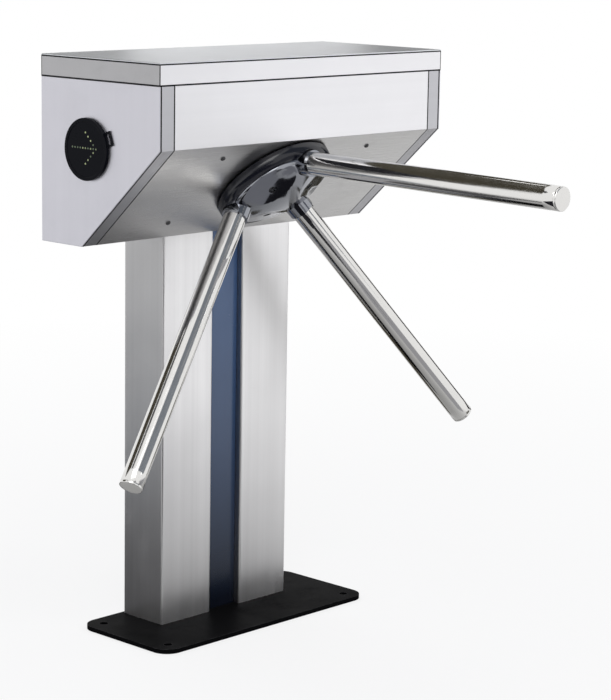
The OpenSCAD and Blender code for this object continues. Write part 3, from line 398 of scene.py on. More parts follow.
def marks_group():
    """Smudges where hands and cloths went over a surface: 0 is clean, 1 is smeared."""
    tree, given, gives = new_tree(
        "Handling marks", "ShaderNodeTree", {"Size": 0.05, "Amount": 0.4}, {"Marks": "Float"})
    place = on_model(tree)
    scale = maths(tree, "DIVIDE", 1.0, given["Size"])
    broad = remapped(tree, noise(tree, place, scale, 2.0), 0.5, 0.68)
    finer = maths(tree, "MULTIPLY", scale, 6.0)
    wiped = put(tree, "ShaderNodeTexNoise",
                {"Vector": place, "Scale": finer, "Detail": 4.0, "Distortion": 1.6})
    smeared = maths(tree, "MULTIPLY", broad, remapped(tree, wiped.outputs[0], 0.35, 0.7))
    tree.links.new(maths(tree, "MULTIPLY", smeared, given["Amount"]), gives["Marks"])
    return tree


clouds = cloud_group()
marks = marks_group()
print("groups", clouds.name, marks.name)

# %% Group: edge wear
def edge_group():
    """1 along outer edges, broken up by noise, and 0 on the flats."""
    tree, given, gives = new_tree(
        "Edge wear", "ShaderNodeTree", {"Width": 0.0012, "Break-up": 0.6}, {"Edge": "Float"})
    rounded = put(tree, "ShaderNodeBevel", {"Radius": given["Width"]}, samples=4).outputs[0]
    flat = put(tree, "ShaderNodeNewGeometry").outputs["Normal"]
    along = put(tree, "ShaderNodeVectorMath", {0: rounded, 1: flat}, operation="DOT_PRODUCT").outputs["Value"]
    edge = remapped(tree, along, 0.995, 0.93)
    place = on_model(tree)
    rubbed = remapped(tree, noise(tree, place, 60.0, 4.0, 0.6), 0.4, 0.65)
    kept = maths(tree, "SUBTRACT", 1.0, given["Break-up"])
    share = maths(tree, "MULTIPLY_ADD", rubbed, given["Break-up"], kept)
    tree.links.new(maths(tree, "MULTIPLY", edge, share), gives["Edge"])
    return tree


edges = edge_group()
print("group", edges.name)

# %% Group: dust and coat texture
def dust_group():
    """Dust that settles on faces that look up."""
    tree, given, gives = new_tree(
        "Settled dust", "ShaderNodeTree", {"Amount": 0.3, "Size": 0.03}, {"Dust": "Float"})
    normal = put(tree, "ShaderNodeNewGeometry").outputs["Normal"]
    facing = put(tree, "ShaderNodeSeparateXYZ", {0: normal}).outputs["Z"]
    upward = remapped(tree, facing, 0.3, 0.95)
    place = on_model(tree)
    scale = maths(tree, "DIVIDE", 1.0, given["Size"])
    drift = remapped(tree, noise(tree, place, scale, 5.0, 0.65), 0.3, 0.75)
    settled = maths(tree, "MULTIPLY", upward, drift)
    tree.links.new(maths(tree, "MULTIPLY", settled, given["Amount"]), gives["Dust"])
    return tree


def peel_group():
    """The fine orange peel of a powder coat or a moulding, as a normal."""
    tree, given, gives = new_tree(
        "Coat texture", "ShaderNodeTree", {"Pitch": 0.0012, "Depth": 0.3}, {"Normal": "Vector"})
    place = on_model(tree)
    height = noise(tree, place, maths(tree, "DIVIDE", 1.0, given["Pitch"]), 2.0)
    bump = put(tree, "ShaderNodeBump", {"Height": height, "Strength": given["Depth"], "Distance": 0.00008})
    tree.links.new(bump.outputs[0], gives["Normal"])
    return tree


dust = dust_group()
peel = peel_group()
print("groups", dust.name, peel.name)

# %% [markdown]
# ## The finishes
# The record lists a material slot for every CAD node. Each slot gets one procedural material
# here: brushed and polished steels, zinc, brass, powder coat, gloss black, rubber, lamp lens,
# circuit board and casings. The steels share one recipe and differ in colour, grain and gloss.
# Most of a noise lies in its usual range, so that range is what a recipe stretches.

# %% Material helpers
USUAL = (0.3, 0.7)
finish = {}


def rgba(colour, level=1.0):
    """A colour for a socket, lighter or darker by a level."""
    return (colour[0] * level, colour[1] * level, colour[2] * level, 1.0)


def placed(tree, group, inputs):
    """Places a shared group in a material and returns its outputs."""
    made = tree.nodes.new("ShaderNodeGroup")
    made.node_tree = group
    for name, value in inputs.items():
        made.inputs[name].default_value = value
    return made.outputs


def new_finish(slot):
    """An empty material named after its slot; returns its tree."""
    finish[slot], tree = bare_material(slot)
    return tree


def feed(tree, **sources):
    """Ends a finish with a Principled shader; base_color is fed into its Base Color, and so on."""
    sockets = {name.replace("_", " ").title().replace("Ior", "IOR"): sources[name] for name in sources}
    shader = put(tree, "ShaderNodeBsdfPrincipled", sockets)
    put(tree, "ShaderNodeOutputMaterial", {"Surface": shader.outputs[0]})


print("finish helpers ready")

# %% Brushed steels
ALONG_X = (7.0, 1900.0, 1900.0)
ALONG_Z = (1900.0, 1900.0, 7.0)


def brushed_steel(slot, colour, frequency, roughness, contrast=0.07, cloud_size=0.16, side_shade_tone=1.0):
    """Brushed stainless steel: lines and streaks along the grain, faint clouds, smudges, bright edges.
    Side shade tone is painted shade: the faces that look along X are darkened to this tone."""
    tree = new_finish(slot)
    brushed = placed(tree, grain, {"Frequency": frequency, "Streak share": 0.022, "Depth": 0.35})
    cloud = placed(tree, clouds, {"Size": cloud_size})["Cloud"]
    smeared = placed(tree, marks, {"Size": 0.07, "Amount": 0.5})["Marks"]
    edge = placed(tree, edges, {"Width": 0.0012, "Break-up": 0.5})["Edge"]
    streaked = blended(tree, brushed["Streaks"], rgba(colour, 1 - contrast), rgba(colour, 1 + contrast))
    cloudy = blended(tree, remapped(tree, cloud, *USUAL, 0.0, 0.5), streaked, rgba(colour, 1 - contrast))
    bright = blended(tree, maths(tree, "MULTIPLY", edge, 0.5), cloudy, rgba(colour, 1.25))
    lined = remapped(tree, brushed["Lines"], *USUAL, roughness - 0.05, roughness + 0.05)
    rough = maths(tree, "MULTIPLY_ADD", smeared, 0.14, lined)
    normal = put(tree, "ShaderNodeTexCoord").outputs["Normal"]
    facing = put(tree, "ShaderNodeSeparateXYZ", {0: normal}).outputs["X"]
    # painted shade: faces that look along X grow darker, down to the side shade tone
    painted_side_shade = remapped(tree, maths(tree, "ABSOLUTE", facing), 0.4, 0.9, 0.0, 1.0 - side_shade_tone)
    side_shaded = blended(tree, painted_side_shade, bright, BLACK)
    feed(tree, base_color=side_shaded, roughness=rough, metallic=1.0, normal=brushed["Normal"])


# Painted light and shade: the panels' copies of one brushed steel get tones for how light falls on each, so
# the front is palest and the slope, which faces down, darker.
brushed_steel("cabinet_steel", (0.58, 0.58, 0.61), ALONG_X, 0.36)
brushed_steel("front_steel", (0.90, 0.895, 0.92), ALONG_X, 0.38, contrast=0.05, side_shade_tone=0.52)
brushed_steel("slope_steel", (0.70, 0.695, 0.695), ALONG_X, 0.30, contrast=0.08)
brushed_steel("end_steel", (0.69, 0.685, 0.74), ALONG_Z, 0.42, contrast=0.05, cloud_size=0.22)
brushed_steel("lid_steel", (0.76, 0.78, 0.81), ALONG_X, 0.34, contrast=0.05)
brushed_steel("post_steel", (0.87, 0.865, 0.875), ALONG_Z, 0.33, contrast=0.20, cloud_size=0.3, side_shade_tone=0.60)
brushed_steel("gear_steel", (0.42, 0.42, 0.44), ALONG_X, 0.30)
print("brushed steels:", len(finish))

# %% [markdown]
# ### Polished and plated metals
# The arms are polished to a mirror. The hub's head has the same slot and the same recipe in a
# darker tone, a painted shade that dims everything it mirrors. Zinc shows a faint crystal pattern.

# %% Polished and plated metals
def polished_steel(slot, colour):
    """Mirror-polished steel with wiping marks that only the gloss shows."""
    tree = new_finish(slot)
    cloud = placed(tree, clouds, {"Size": 0.03})["Cloud"]
    smeared = placed(tree, marks, {"Size": 0.04, "Amount": 0.6})["Marks"]
    varied = blended(tree, cloud, rgba(colour, 0.95), rgba(colour, 1.05))
    rough = maths(tree, "MULTIPLY_ADD", smeared, 0.08, remapped(tree, cloud, *USUAL, 0.09, 0.13))
    feed(tree, base_color=varied, roughness=rough, metallic=1.0)


def zinc_plate(slot, colour, roughness):
    """Plated steel with a faint crystal pattern."""
    tree = new_finish(slot)
    place = on_model(tree)
    crystal = put(tree, "ShaderNodeTexVoronoi", {"Vector": place, "Scale": 140.0}).outputs["Color"]
    level = put(tree, "ShaderNodeSeparateColor", {0: crystal}).outputs[0]
    cloud = placed(tree, clouds, {"Size": 0.05})["Cloud"]
    edge = placed(tree, edges, {"Width": 0.0008, "Break-up": 0.4})["Edge"]
    base = blended(tree, level, rgba(colour, 0.92), rgba(colour, 1.06))
    bright = blended(tree, maths(tree, "MULTIPLY", edge, 0.5), base, rgba(colour, 1.3))
    rough = remapped(tree, cloud, *USUAL, roughness - 0.06, roughness + 0.08)
    feed(tree, base_color=bright, roughness=rough, metallic=1.0)


polished_steel("polished_steel", (0.76, 0.752, 0.735))
# painted shade: a darker copy of the polished steel for the hub's head
polished_steel("dark_chrome", (0.30, 0.31, 0.34))
zinc_plate("zinc_plate", (0.55, 0.56, 0.58), 0.36)
zinc_plate("bolt_steel", (0.50, 0.50, 0.52), 0.28)
zinc_plate("bearing_steel", (0.66, 0.66, 0.68), 0.16)
zinc_plate("supply_casing", (0.60, 0.61, 0.62), 0.42)
zinc_plate("pawl_brass", (0.65, 0.50, 0.25), 0.26)
print("metals:", len(finish))

# %% [markdown]
# ### Paints, rubber and mouldings
# Powder coat peels like an orange, rubs bright at its edges and holds a little dust. The panel
# between the posts is a tinted gloss panel in a real blue, and a painted shade sinks that blue
# into black towards the floor.

# %% Paints, rubber and mouldings
RUBBED_GREY = (0.30, 0.30, 0.31, 1.0)
DUST_GREY = (0.32, 0.31, 0.30, 1.0)
# the near-black foot of the recess panel's painted shade
PAINTED_SHADE_FOOT = (0.001, 0.001, 0.003, 1.0)
BLUE_HEAD = (0.058, 0.120, 0.260, 1.0)
BLUE_CLOUD = (0.013, 0.033, 0.085, 1.0)


def coated(slot, colour, roughness, pitch, depth, sheen=0.5, wear=0.25, dusty=0.25):
    """Paint or moulding over a base: peel, rubbed edges, smudges and a little dust."""
    tree = new_finish(slot)
    normal = placed(tree, peel, {"Pitch": pitch, "Depth": depth})["Normal"]
    edge = placed(tree, edges, {"Width": 0.0012, "Break-up": 0.8})["Edge"]
    fallen = placed(tree, dust, {"Amount": dusty, "Size": 0.04})["Dust"]
    cloud = placed(tree, clouds, {"Size": 0.09})["Cloud"]
    smeared = placed(tree, marks, {"Size": 0.06, "Amount": 0.7})["Marks"]
    varied = blended(tree, cloud, rgba(colour, 0.85), rgba(colour, 1.15))
    rubbed = blended(tree, maths(tree, "MULTIPLY", edge, wear), varied, RUBBED_GREY)
    dusted = blended(tree, maths(tree, "MULTIPLY", fallen, 0.3), rubbed, DUST_GREY)
    patchy = remapped(tree, cloud, *USUAL, roughness - 0.04, roughness + 0.06)
    rough = maths(tree, "MULTIPLY_ADD", smeared, 0.18, patchy)
    feed(tree, base_color=dusted, roughness=rough, normal=normal, specular_ior_level=sheen)


def blue_with_painted_shade():
    """The tinted panel between the posts: blue above, and a painted shade that turns it nearly black where it
    nears the floor.
    """
    tree = new_finish("recess_paint")
    place = on_model(tree)
    height = put(tree, "ShaderNodeSeparateXYZ", {0: place}).outputs["Z"]
    cloud = placed(tree, clouds, {"Size": 0.12})["Cloud"]
    smeared = placed(tree, marks, {"Size": 0.06, "Amount": 0.5})["Marks"]
    normal = placed(tree, peel, {"Pitch": 0.0014, "Depth": 0.12})["Normal"]
    # painted shade: the panel's blue sinks to nearly black towards the floor
    painted_shade_blue = blended(tree, remapped(tree, height, 0.02, 0.62), PAINTED_SHADE_FOOT, BLUE_HEAD)
    varied = blended(tree, maths(tree, "MULTIPLY", cloud, 0.25), painted_shade_blue, BLUE_CLOUD)
    rough = maths(tree, "MULTIPLY_ADD", smeared, 0.12, 0.22)
    feed(tree, base_color=varied, roughness=rough, normal=normal, specular_ior_level=0.7)


blue_with_painted_shade()
coated("base_coat", (0.003, 0.003, 0.0035), 0.50, 0.0011, 0.45, sheen=0.015, wear=0.2, dusty=0.015)
coated("black_rubber", (0.010, 0.010, 0.011), 0.62, 0.0006, 0.5, sheen=0.2, wear=0.05, dusty=0.3)
coated("black_screws", (0.022, 0.022, 0.025), 0.30, 0.0005, 0.2, wear=0.5, dusty=0.1)
coated("ring_gloss", (0.006, 0.007, 0.012), 0.13, 0.003, 0.06, sheen=0.5, wear=0.1, dusty=0.05)
coated("sign_plastic", (0.003, 0.0035, 0.006), 0.26, 0.0015, 0.08, sheen=0.05, wear=0.08, dusty=0.03)
coated("dark_casing", (0.050, 0.050, 0.055), 0.42, 0.0009, 0.35, wear=0.3)
print("paints and mouldings:", len(finish))

# %% Lamp lens and circuit board
def lamp_lens():
    """A milky lens; some lamps of the arrow glow a little more than others."""
    tree = new_finish("lamp_lens")
    place = on_model(tree)
    lit = remapped(tree, noise(tree, place, 90.0, 0.0), 0.42, 0.6)
    colour = blended(tree, lit, (0.10, 0.13, 0.08, 1.0), (0.34, 0.38, 0.20, 1.0))
    feed(tree, base_color=colour, roughness=0.18, specular_ior_level=0.3, emission_color=colour,
         emission_strength=0.25)


PARTS_X, PARTS_HALF = -0.198, 0.0252
CHIP_Z, RELAY_Z = 0.757, 0.796
TERMINAL_GREEN = (0.10, 0.36, 0.16, 1.0)
CHIP_BLACK = (0.012, 0.012, 0.013, 1.0)
RELAY_BLUE = (0.03, 0.07, 0.22, 1.0)


def circuit_board():
    """Green solder resist with paler tracks and tinned pads; what stands on the control board
    is told by its place: terminals below, a chip in the middle and a relay above."""
    tree = new_finish("board_green")
    place = on_model(tree)
    sockets = {"Vector": place, "Scale": 260.0, "Mortar Size": 0.03, "Color1": BLACK, "Color2": BLACK,
               "Mortar": WHITE}
    track = put(tree, "ShaderNodeTexBrick", sockets).outputs["Fac"]
    crystal = put(tree, "ShaderNodeTexVoronoi", {"Vector": place, "Scale": 220.0}).outputs["Distance"]
    pad = remapped(tree, crystal, 0.16, 0.12)
    green = blended(tree, track, (0.020, 0.13, 0.050, 1.0), (0.050, 0.24, 0.10, 1.0))
    tinned = blended(tree, pad, green, (0.62, 0.62, 0.60, 1.0))
    where = put(tree, "ShaderNodeSeparateXYZ", {0: place}).outputs
    standing = maths(tree, "COMPARE", where["X"], PARTS_X, PARTS_HALF)
    lower = blended(tree, maths(tree, "GREATER_THAN", where["Z"], CHIP_Z), TERMINAL_GREEN, CHIP_BLACK)
    parts = blended(tree, maths(tree, "GREATER_THAN", where["Z"], RELAY_Z), lower, RELAY_BLUE)
    bare = maths(tree, "MULTIPLY", pad, maths(tree, "SUBTRACT", 1.0, standing))
    colour = blended(tree, standing, tinned, parts)
    rough = remapped(tree, bare, 0.0, 1.0, 0.38, 0.25)
    feed(tree, base_color=colour, roughness=rough, metallic=bare)


lamp_lens()
circuit_board()
print("finishes:", len(finish))

# %% [markdown]
# ## From CAD mesh to finished piece
# A CAD export has perfectly sharp edges, and sharp edges catch no light. A folded sheet or a
# sawn plate has a small radius everywhere, so the visible plates are copied, merged, and given
# a bevel on every edge that turns. The CAD node itself stays untouched and is only hidden.

# %% Piece helpers
slot_of = {part["node"]: part["material_slot"] for part in frame["record"]["subparts"]}


def settle(working, name):
    """The evaluated result of a working object as a plain mesh; the working object goes."""
    graph = bpy.context.evaluated_depsgraph_get()
    mesh = bpy.data.meshes.new_from_object(working.evaluated_get(graph))
    bpy.data.objects.remove(working)
    mesh.name = name
    return linked(name, mesh)


def keep(piece, body, slot, *instead_of, coat=None):
    """Gives a piece the finish of its slot and its body, and hides the CAD nodes that it stands for;
    a coat is a finish that differs from its slot's."""
    piece.data.materials.clear()
    piece.data.materials.append(finish[coat or slot])
    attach(piece, body)
    if instead_of:
        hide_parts(*instead_of)
    triangles = sum(len(face.vertices) - 2 for face in piece.data.polygons)
    print(f"{piece.name}: {triangles} triangles, {slot}, rides on {body}")
    return piece


def smooth(mesh, angle):
    """Smooth shading that keeps edges sharper than an angle."""
    mesh.polygons.foreach_set("use_smooth", [True] * len(mesh.polygons))
    mesh.set_sharp_from_angle(angle=radians(angle))


SAME_POINT = 0.00001
SAME_FLAT = radians(0.4)
LEAST_TURN = radians(28)


def cad_copy(node):
    """A merged copy of a CAD node's mesh, with its flats joined into whole faces."""
    mesh = frame["nodes"][node].data.copy()
    if "custom_normal" in mesh.attributes:
        mesh.attributes.remove(mesh.attributes["custom_normal"])
    made = bmesh.new()
    made.from_mesh(mesh)
    bmesh.ops.remove_doubles(made, verts=made.verts, dist=SAME_POINT)
    bmesh.ops.dissolve_limit(made, angle_limit=SAME_FLAT, verts=made.verts, edges=made.edges)
    made.to_mesh(mesh)
    made.free()
    return mesh


def weigh_edges(mesh, chosen, least_angle):
    """Marks the chosen edges that turn by more than an angle for the bevel; the others stay sharp."""
    made = bmesh.new()
    made.from_mesh(mesh)
    weight = made.edges.layers.float.new("bevel_weight_edge")
    for edge in made.edges:
        turns = len(edge.link_faces) == 2 and edge.calc_face_angle(0) > radians(least_angle)
        rounded = turns and chosen(edge.verts[0].co, edge.verts[1].co)
        edge[weight] = 1.0 if rounded else 0.0
        edge.smooth = rounded or not turns
    made.to_mesh(mesh)
    made.free()


def rounded_off(working, name, limit, width, segments):
    """Rounds the edges of a working object and settles it."""
    bevel = working.modifiers.new("Softened edges", "BEVEL")
    bevel.limit_method = limit
    bevel.angle_limit = LEAST_TURN
    bevel.width = width
    bevel.segments = segments
    bevel.harden_normals = True
    return settle(working, name)


def softened(node, width, chosen=lambda a, b: True, segments=2, least_angle=35):
    """A copy of a CAD node with its chosen edges rounded."""
    mesh = cad_copy(node)
    smooth(mesh, 180)
    weigh_edges(mesh, chosen, least_angle)
    return rounded_off(linked("working", mesh), node + "_sheet", "WEIGHT", width, segments)


def keep_softened(*nodes, width, **how):
    """Keeps softened copies of CAD nodes, each in the body and the slot of its node."""
    for node in nodes:
        keep(softened(node, width, **how), frame["nodes"][node]["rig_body"], slot_of[node], node)


print("piece helpers ready")

# %% [markdown]
# ## Base and column
# The base plate is flame-cut and powder coated, so its edges are only just broken. The posts
# are folded from 3 mm sheet: their upright corners have a real bending radius, while their
# sawn ends stay square, because they stand flush on the plate.

# %% Base plate and posts
HAND = 0.1


def upright(a, b):
    """True for an edge that stands up and is longer than a hand."""
    return abs(a.z - b.z) > HAND


CUT_EDGE = 0.0013
PANEL_EDGE = 0.0012
FOLD_RADIUS = 0.0032

keep_softened("base_plate", width=CUT_EDGE, segments=3)
keep_softened("left_post", "right_post", width=FOLD_RADIUS, chosen=upright, segments=5)
keep_softened("front_recess_panel", "rear_recess_panel", width=PANEL_EDGE, chosen=upright, segments=3)

# %% [markdown]
# ## Cabinet and lid
# The cabinet is a skin of 2 mm sheets: two end plates, the strips that follow the outline
# behind them, and the panels between. Black seals show as thin lines wherever two sheets meet.
# Each sheet takes its finish from its own slot, only the lid's rim from that of the front.

# %% Cabinet sheets
SHEET_EDGE = 0.0008
LID_TOP_EDGE = 0.0007
keep_softened("cabinet_floor", "back_panel", "left_cheek", "right_cheek", "front_panel", "slope_panel",
              "left_end_plate", "right_end_plate", width=SHEET_EDGE)
keep_softened("lid_top", width=LID_TOP_EDGE)
keep(softened("lid_rim", SHEET_EDGE), "lid", "front_steel", "lid_rim")
keep_softened("head_plates", width=SHEET_EDGE)

# %% [markdown]
# ## Turned parts
# A screw, a lens, a tube and an end cap are all turned on a lathe: an outline spun round an
# axis. One function spins such an outline. A ring may be six-sided instead of round, which
# gives a hex socket its flats without cutting anything.

# %% Lathe
def six_sided(angle):
    """How much further in than its corners a hexagon runs at an angle."""
    return cos(pi / 6) / cos(angle % (pi / 3) - pi / 6)


def turned(name, outline, steps=48, hex_rings=(), angle=32):
    """Spins an outline of (radius, height) round Z; it runs from axis to axis or closes on itself."""
    made = bmesh.new()
    rings = []
    for number, (radius, height) in enumerate(outline):
        if radius == 0:
            rings.append([made.verts.new((0, 0, height))])
            continue
        ring = []
        for step in range(steps):
            turn = 2 * pi * step / steps
            reach = radius * (six_sided(turn) if number in hex_rings else 1)
            ring.append(made.verts.new((reach * cos(turn), reach * sin(turn), height)))
        rings.append(ring)
    for low, high in zip(rings, rings[1:]):
        for step in range(steps):
            after = (step + 1) % steps
            below = [low[step % len(low)], low[after % len(low)]]
            above = [high[after % len(high)], high[step % len(high)]]
            made.faces.new(list(dict.fromkeys(below + above)))
    bmesh.ops.recalc_face_normals(made, faces=made.faces)
    mesh = bpy.data.meshes.new(name)
    made.to_mesh(mesh)
    made.free()
    smooth(mesh, angle)
    return mesh


def arc(centre_r, centre_z, radius, start, end, count):
    """Points of an outline on an arc, with the angles in degrees from the radius outwards."""
    turns = [radians(start + (end - start) * k / count) for k in range(count + 1)]
    return [(centre_r + radius * cos(t), centre_z + radius * sin(t)) for t in turns]


print("lathe ready")

# %% [markdown]
# ## Patterns with Geometry Nodes
# Three arms round a hub, four screws in a panel and a dotted arrow are rules, not lists of
# parts. Two small node trees place copies of a turned piece: one round an axis, one in a grid.
# Each ends in Realize Instances and Set Material and is then settled into a plain mesh.

# %% Tree: copies round an axis
def copy_tree(name, inputs):
    """A tree that copies a piece, with its own inputs and those that all such trees share."""
    shared = {"Piece": "Object", "Place": (0.0, 0.0, 0.0), "Turn": (0.0, 0.0, 0.0), "Material": "Material"}
    return new_tree(name, "GeometryNodeTree", {**shared, **inputs}, {"Geometry": "Geometry"})


def round_tree():
    """Copies of a piece round Z, then moved and turned as one."""
    tree, given, gives = copy_tree("Copies round an axis", {"Count": 3, "Start": 0.0})
    points = put(tree, "GeometryNodePoints", {"Count": given["Count"]}).outputs[0]
    step = maths(tree, "DIVIDE", 2 * pi, given["Count"])
    angle = maths(tree, "MULTIPLY_ADD", put(tree, "GeometryNodeInputIndex").outputs[0], step, given["Start"])
    about = put(tree, "ShaderNodeCombineXYZ", {"Z": angle}).outputs[0]
    rotation = put(tree, "FunctionNodeEulerToRotation", {0: about}).outputs[0]
    return finish_tree(tree, given, gives, {"Points": points, "Rotation": rotation})


def finish_tree(tree, given, gives, spots):
    """Sets the piece on the spots, realizes the copies, moves and turns them to their place and
    gives them their material."""
    source = put(tree, "GeometryNodeObjectInfo", {"Object": given["Piece"]}).outputs["Geometry"]
    copies = put(tree, "GeometryNodeInstanceOnPoints", {"Instance": source, **spots}).outputs[0]
    real = put(tree, "GeometryNodeRealizeInstances", {0: copies}).outputs[0]
    turn = put(tree, "FunctionNodeEulerToRotation", {0: given["Turn"]}).outputs[0]
    stand = {"Geometry": real, "Translation": given["Place"], "Rotation": turn}
    moved = put(tree, "GeometryNodeTransform", stand).outputs[0]
    paint = {"Geometry": moved, "Material": given["Material"]}
    tree.links.new(put(tree, "GeometryNodeSetMaterial", paint).outputs[0], gives["Geometry"])
    return tree


def grown(tree, name, mesh, slot, **values):
    """Runs a tree on a turned piece and settles the result; the piece itself goes."""
    source = linked("source", mesh)
    working = linked("working", bpy.data.meshes.new("working"))
    modifier = working.modifiers.new(tree.name, "NODES")
    modifier.node_group = tree
    values.update(Piece=source, Material=finish[slot])
    for item in tree.interface.items_tree:
        if item.in_out == "INPUT" and item.name.replace(" ", "_") in values:
            modifier[item.identifier] = values[item.name.replace(" ", "_")]
    made = settle(working, name)
    bpy.data.objects.remove(source)
    return made


copies_round = round_tree()
print("tree", copies_round.name)

# %% Tree: copies in a grid
def grid_tree():
    """Copies of a piece on a grid in the XY plane, then moved and turned as one."""
    tree, given, gives = copy_tree(
        "Copies in a grid", {"Width": 0.1, "Height": 0.1, "Columns": 2, "Rows": 2})
    grid = put(tree, "GeometryNodeMeshGrid",
               {"Size X": given["Width"], "Size Y": given["Height"],
                "Vertices X": given["Columns"], "Vertices Y": given["Rows"]}).outputs[0]
    return finish_tree(tree, given, gives, {"Points": grid})


copies_in_grid = grid_tree()
print("tree", copies_in_grid.name)

# %% [markdown]
# ## The hub's own frame
# The hub leans 47.5 degrees below the horizon. The joint that turns it gives its centre and
# axis, so everything on the hub is drawn upright, with Z along that axis, and turned at the end.

# %% Hub frame
hub_centre = Vector(joints["hub_turn"]["pos_m"])
hub_axis = Vector(joints["hub_turn"]["axis"]).normalized()
hub_turn = (atan2(-hub_axis.y, hub_axis.z), 0.0, 0.0)
hub_matrix = Matrix.Translation(hub_centre) @ Matrix.Rotation(hub_turn[0], 4, "X")
print("hub centre", [round(part, 4) for part in hub_centre], "turn", round(hub_turn[0] * 180 / pi, 2))

# %% Arm sizes
ARM_R = 0.019
ARM_WALL = 0.0015
ARM_CONE = radians(46.5)
APEX_DEPTH = 0.0496
ARM_ROOT = 0.102
ARM_REACH = 0.6377
CAP_T = 0.004
PLUG_LENGTH = 0.018
CAP_ROUND = 0.0014
PLUG_GAP = 0.0001
arm_matrix = Matrix.Translation((0, 0, -APEX_DEPTH)) @ Matrix.Rotation(-ARM_CONE, 4, "X")
print("arm reach", ARM_REACH)

# %% Arms and end caps
RINGS = 24


def arm_tube():
    """One tube along its cone line: both mouths rounded, hollow inside."""
    low, high, inner = ARM_ROOT, ARM_REACH - CAP_T, ARM_R - ARM_WALL
    lip = ARM_WALL / 3
    outline = [(inner, low + lip), (inner + lip, low), (ARM_R - lip, low), (ARM_R, low + lip)]
    outline += [(ARM_R, low + (high - low) * k / RINGS) for k in range(1, RINGS)]
    outline += [(ARM_R, high - lip), (ARM_R - lip, high), (inner + lip, high), (inner, high - lip)]
    return turned("tube", outline + outline[:1], steps=96, angle=50)


def arm_cap():
    """A flat end cap with a rounded rim and the plug that holds it in the tube."""
    base, top = ARM_REACH - CAP_T, ARM_REACH
    plug_r = ARM_R - ARM_WALL - PLUG_GAP
    outline = [(0, base - PLUG_LENGTH), (plug_r, base - PLUG_LENGTH), (plug_r, base), (ARM_R, base)]
    outline += arc(ARM_R - CAP_ROUND, top - CAP_ROUND, CAP_ROUND, 0, 90, 6)
    outline += [(ARM_R * 0.5, top), (0, top)]
    return turned("cap", outline, steps=96, angle=32)


on_hub = {"Place": tuple(hub_centre), "Turn": hub_turn}
for name, shape, node in (("arms", arm_tube(), "arm_tubes"), ("arm_caps", arm_cap(), "arm_end_caps")):
    shape.transform(arm_matrix)
    copies = grown(copies_round, name, shape, "polished_steel", Count=3, **on_hub)
    keep(copies, "rotor", "polished_steel", node)

# %% [markdown]
# ## Hub ring and head
# The black ring is a moulding with a rounded shoulder, notched where the sockets pass. The
# polished head is a low dome with three sockets, three flats between them and sunk screws.
# Both are turned first and then cut with booleans, as they would be on a machine.

# %% Cutting helpers
SLIVER = 0.0003


def thrice(base, place, start=0.0):
    """Three copies of a mesh, each set in its place and then turned about the hub's axis."""
    meshes = [base.copy() for k in range(3)]
    for k, mesh in enumerate(meshes):
        mesh.transform(Matrix.Rotation(start + 2 * pi * k / 3, 4, "Z") @ place)
    return meshes


def rods(radius, low, high, steps=64):
    """Three solid rods along the arms' lines, in the hub's frame."""
    outline = [(0, low), (radius, low), (radius, high), (0, high)]
    return thrice(turned("rod", outline, steps=steps), arm_matrix)


def carved(mesh, cuts, name, operation="DIFFERENCE"):
    """The mesh with each of the cuts taken off, or added, one after the other."""
    working = linked("working", mesh)
    for cut in cuts:
        tool = linked("tool", cut)
        modifier = working.modifiers.new("Cut", "BOOLEAN")
        modifier.operation = operation
        modifier.solver = "EXACT"
        modifier.object = tool
    made = settle(working, name)
    for tool in [o for o in bpy.data.objects if o.name.startswith("tool")]:
        bpy.data.objects.remove(tool)
    return made


def edged(piece, width, name, segments=2):
    """Merges the slivers that cutting leaves and rounds the edges that turn."""
    made = bmesh.new()
    made.from_mesh(piece.data)
    bmesh.ops.remove_doubles(made, verts=made.verts, dist=SLIVER)
    made.to_mesh(piece.data)
    made.free()
    smooth(piece.data, 180)
    return rounded_off(piece, name, "ANGLE", width, segments)


print("cutting helpers ready")

# %% Hub ring
RING_R = 0.104
RING_TOP = 0.022
HEAD_R = 0.088
HUB_GAP = 0.002
CARRIER_R = 0.058
CARRIER_TOP = 0.012
LEDGE_R = 0.0663
LEDGE_Z = 0.005
HAIR = 0.0003
RING_LAND = 0.002
RING_WALL = 0.006
RING_FOOT = 0.001
RING_LIP = 0.0006
SOCKET_R = ARM_R + 0.0032
NOTCH_GAP = 0.001
NOTCH_FROM, NOTCH_TO = 0.06, 0.16


def ring_mesh():
    """The ring's outline: a ledge inside, a rounded shoulder outside."""
    land_r, wall_top = HEAD_R + RING_LAND, HUB_GAP + RING_WALL
    seat_r, bore_r = CARRIER_R + HAIR, HEAD_R + HAIR
    outline = [(seat_r, LEDGE_Z), (LEDGE_R, LEDGE_Z), (LEDGE_R, HUB_GAP), (RING_R - RING_FOOT, HUB_GAP),
               (RING_R, HUB_GAP + RING_FOOT)]
    outline += [(land_r + (RING_R - land_r) * cos(t), wall_top + (RING_TOP - wall_top) * sin(t))
                for t in [radians(5 * k) for k in range(19)]]
    outline += [(bore_r + RING_LIP, RING_TOP), (bore_r, RING_TOP - RING_LIP), (bore_r, CARRIER_TOP),
                (seat_r, CARRIER_TOP), (seat_r, LEDGE_Z)]
    return turned("ring", outline, steps=160)


ring = carved(ring_mesh(), rods(SOCKET_R + NOTCH_GAP, NOTCH_FROM, NOTCH_TO), "ring")
ring.data.transform(hub_matrix)
keep(edged(ring, RING_LIP, "hub_ring_moulding"), "rotor", "ring_gloss", "hub_ring")

# %% Hub head
HEAD_TOP = 0.046
HEAD_SINK = 0.002
HEAD_CHAMFER = 0.0005
HEAD_ROUND = 0.0011
SOCKET_START = 0.07
SOCKET_END = 0.126
BORE_END = 0.2
HUB_SCREW_R = 0.050
SCREW_SINK = 0.020
WELL_R = 0.007
FLAT_TILT = radians(20)
FLAT_DEPTH = 0.013
FLAT_OUT = 0.06
CUTTER = (0.2, 0.12, 0.04)
CLEAR_OF_HEAD = 0.08
BETWEEN_ARMS = pi / 3


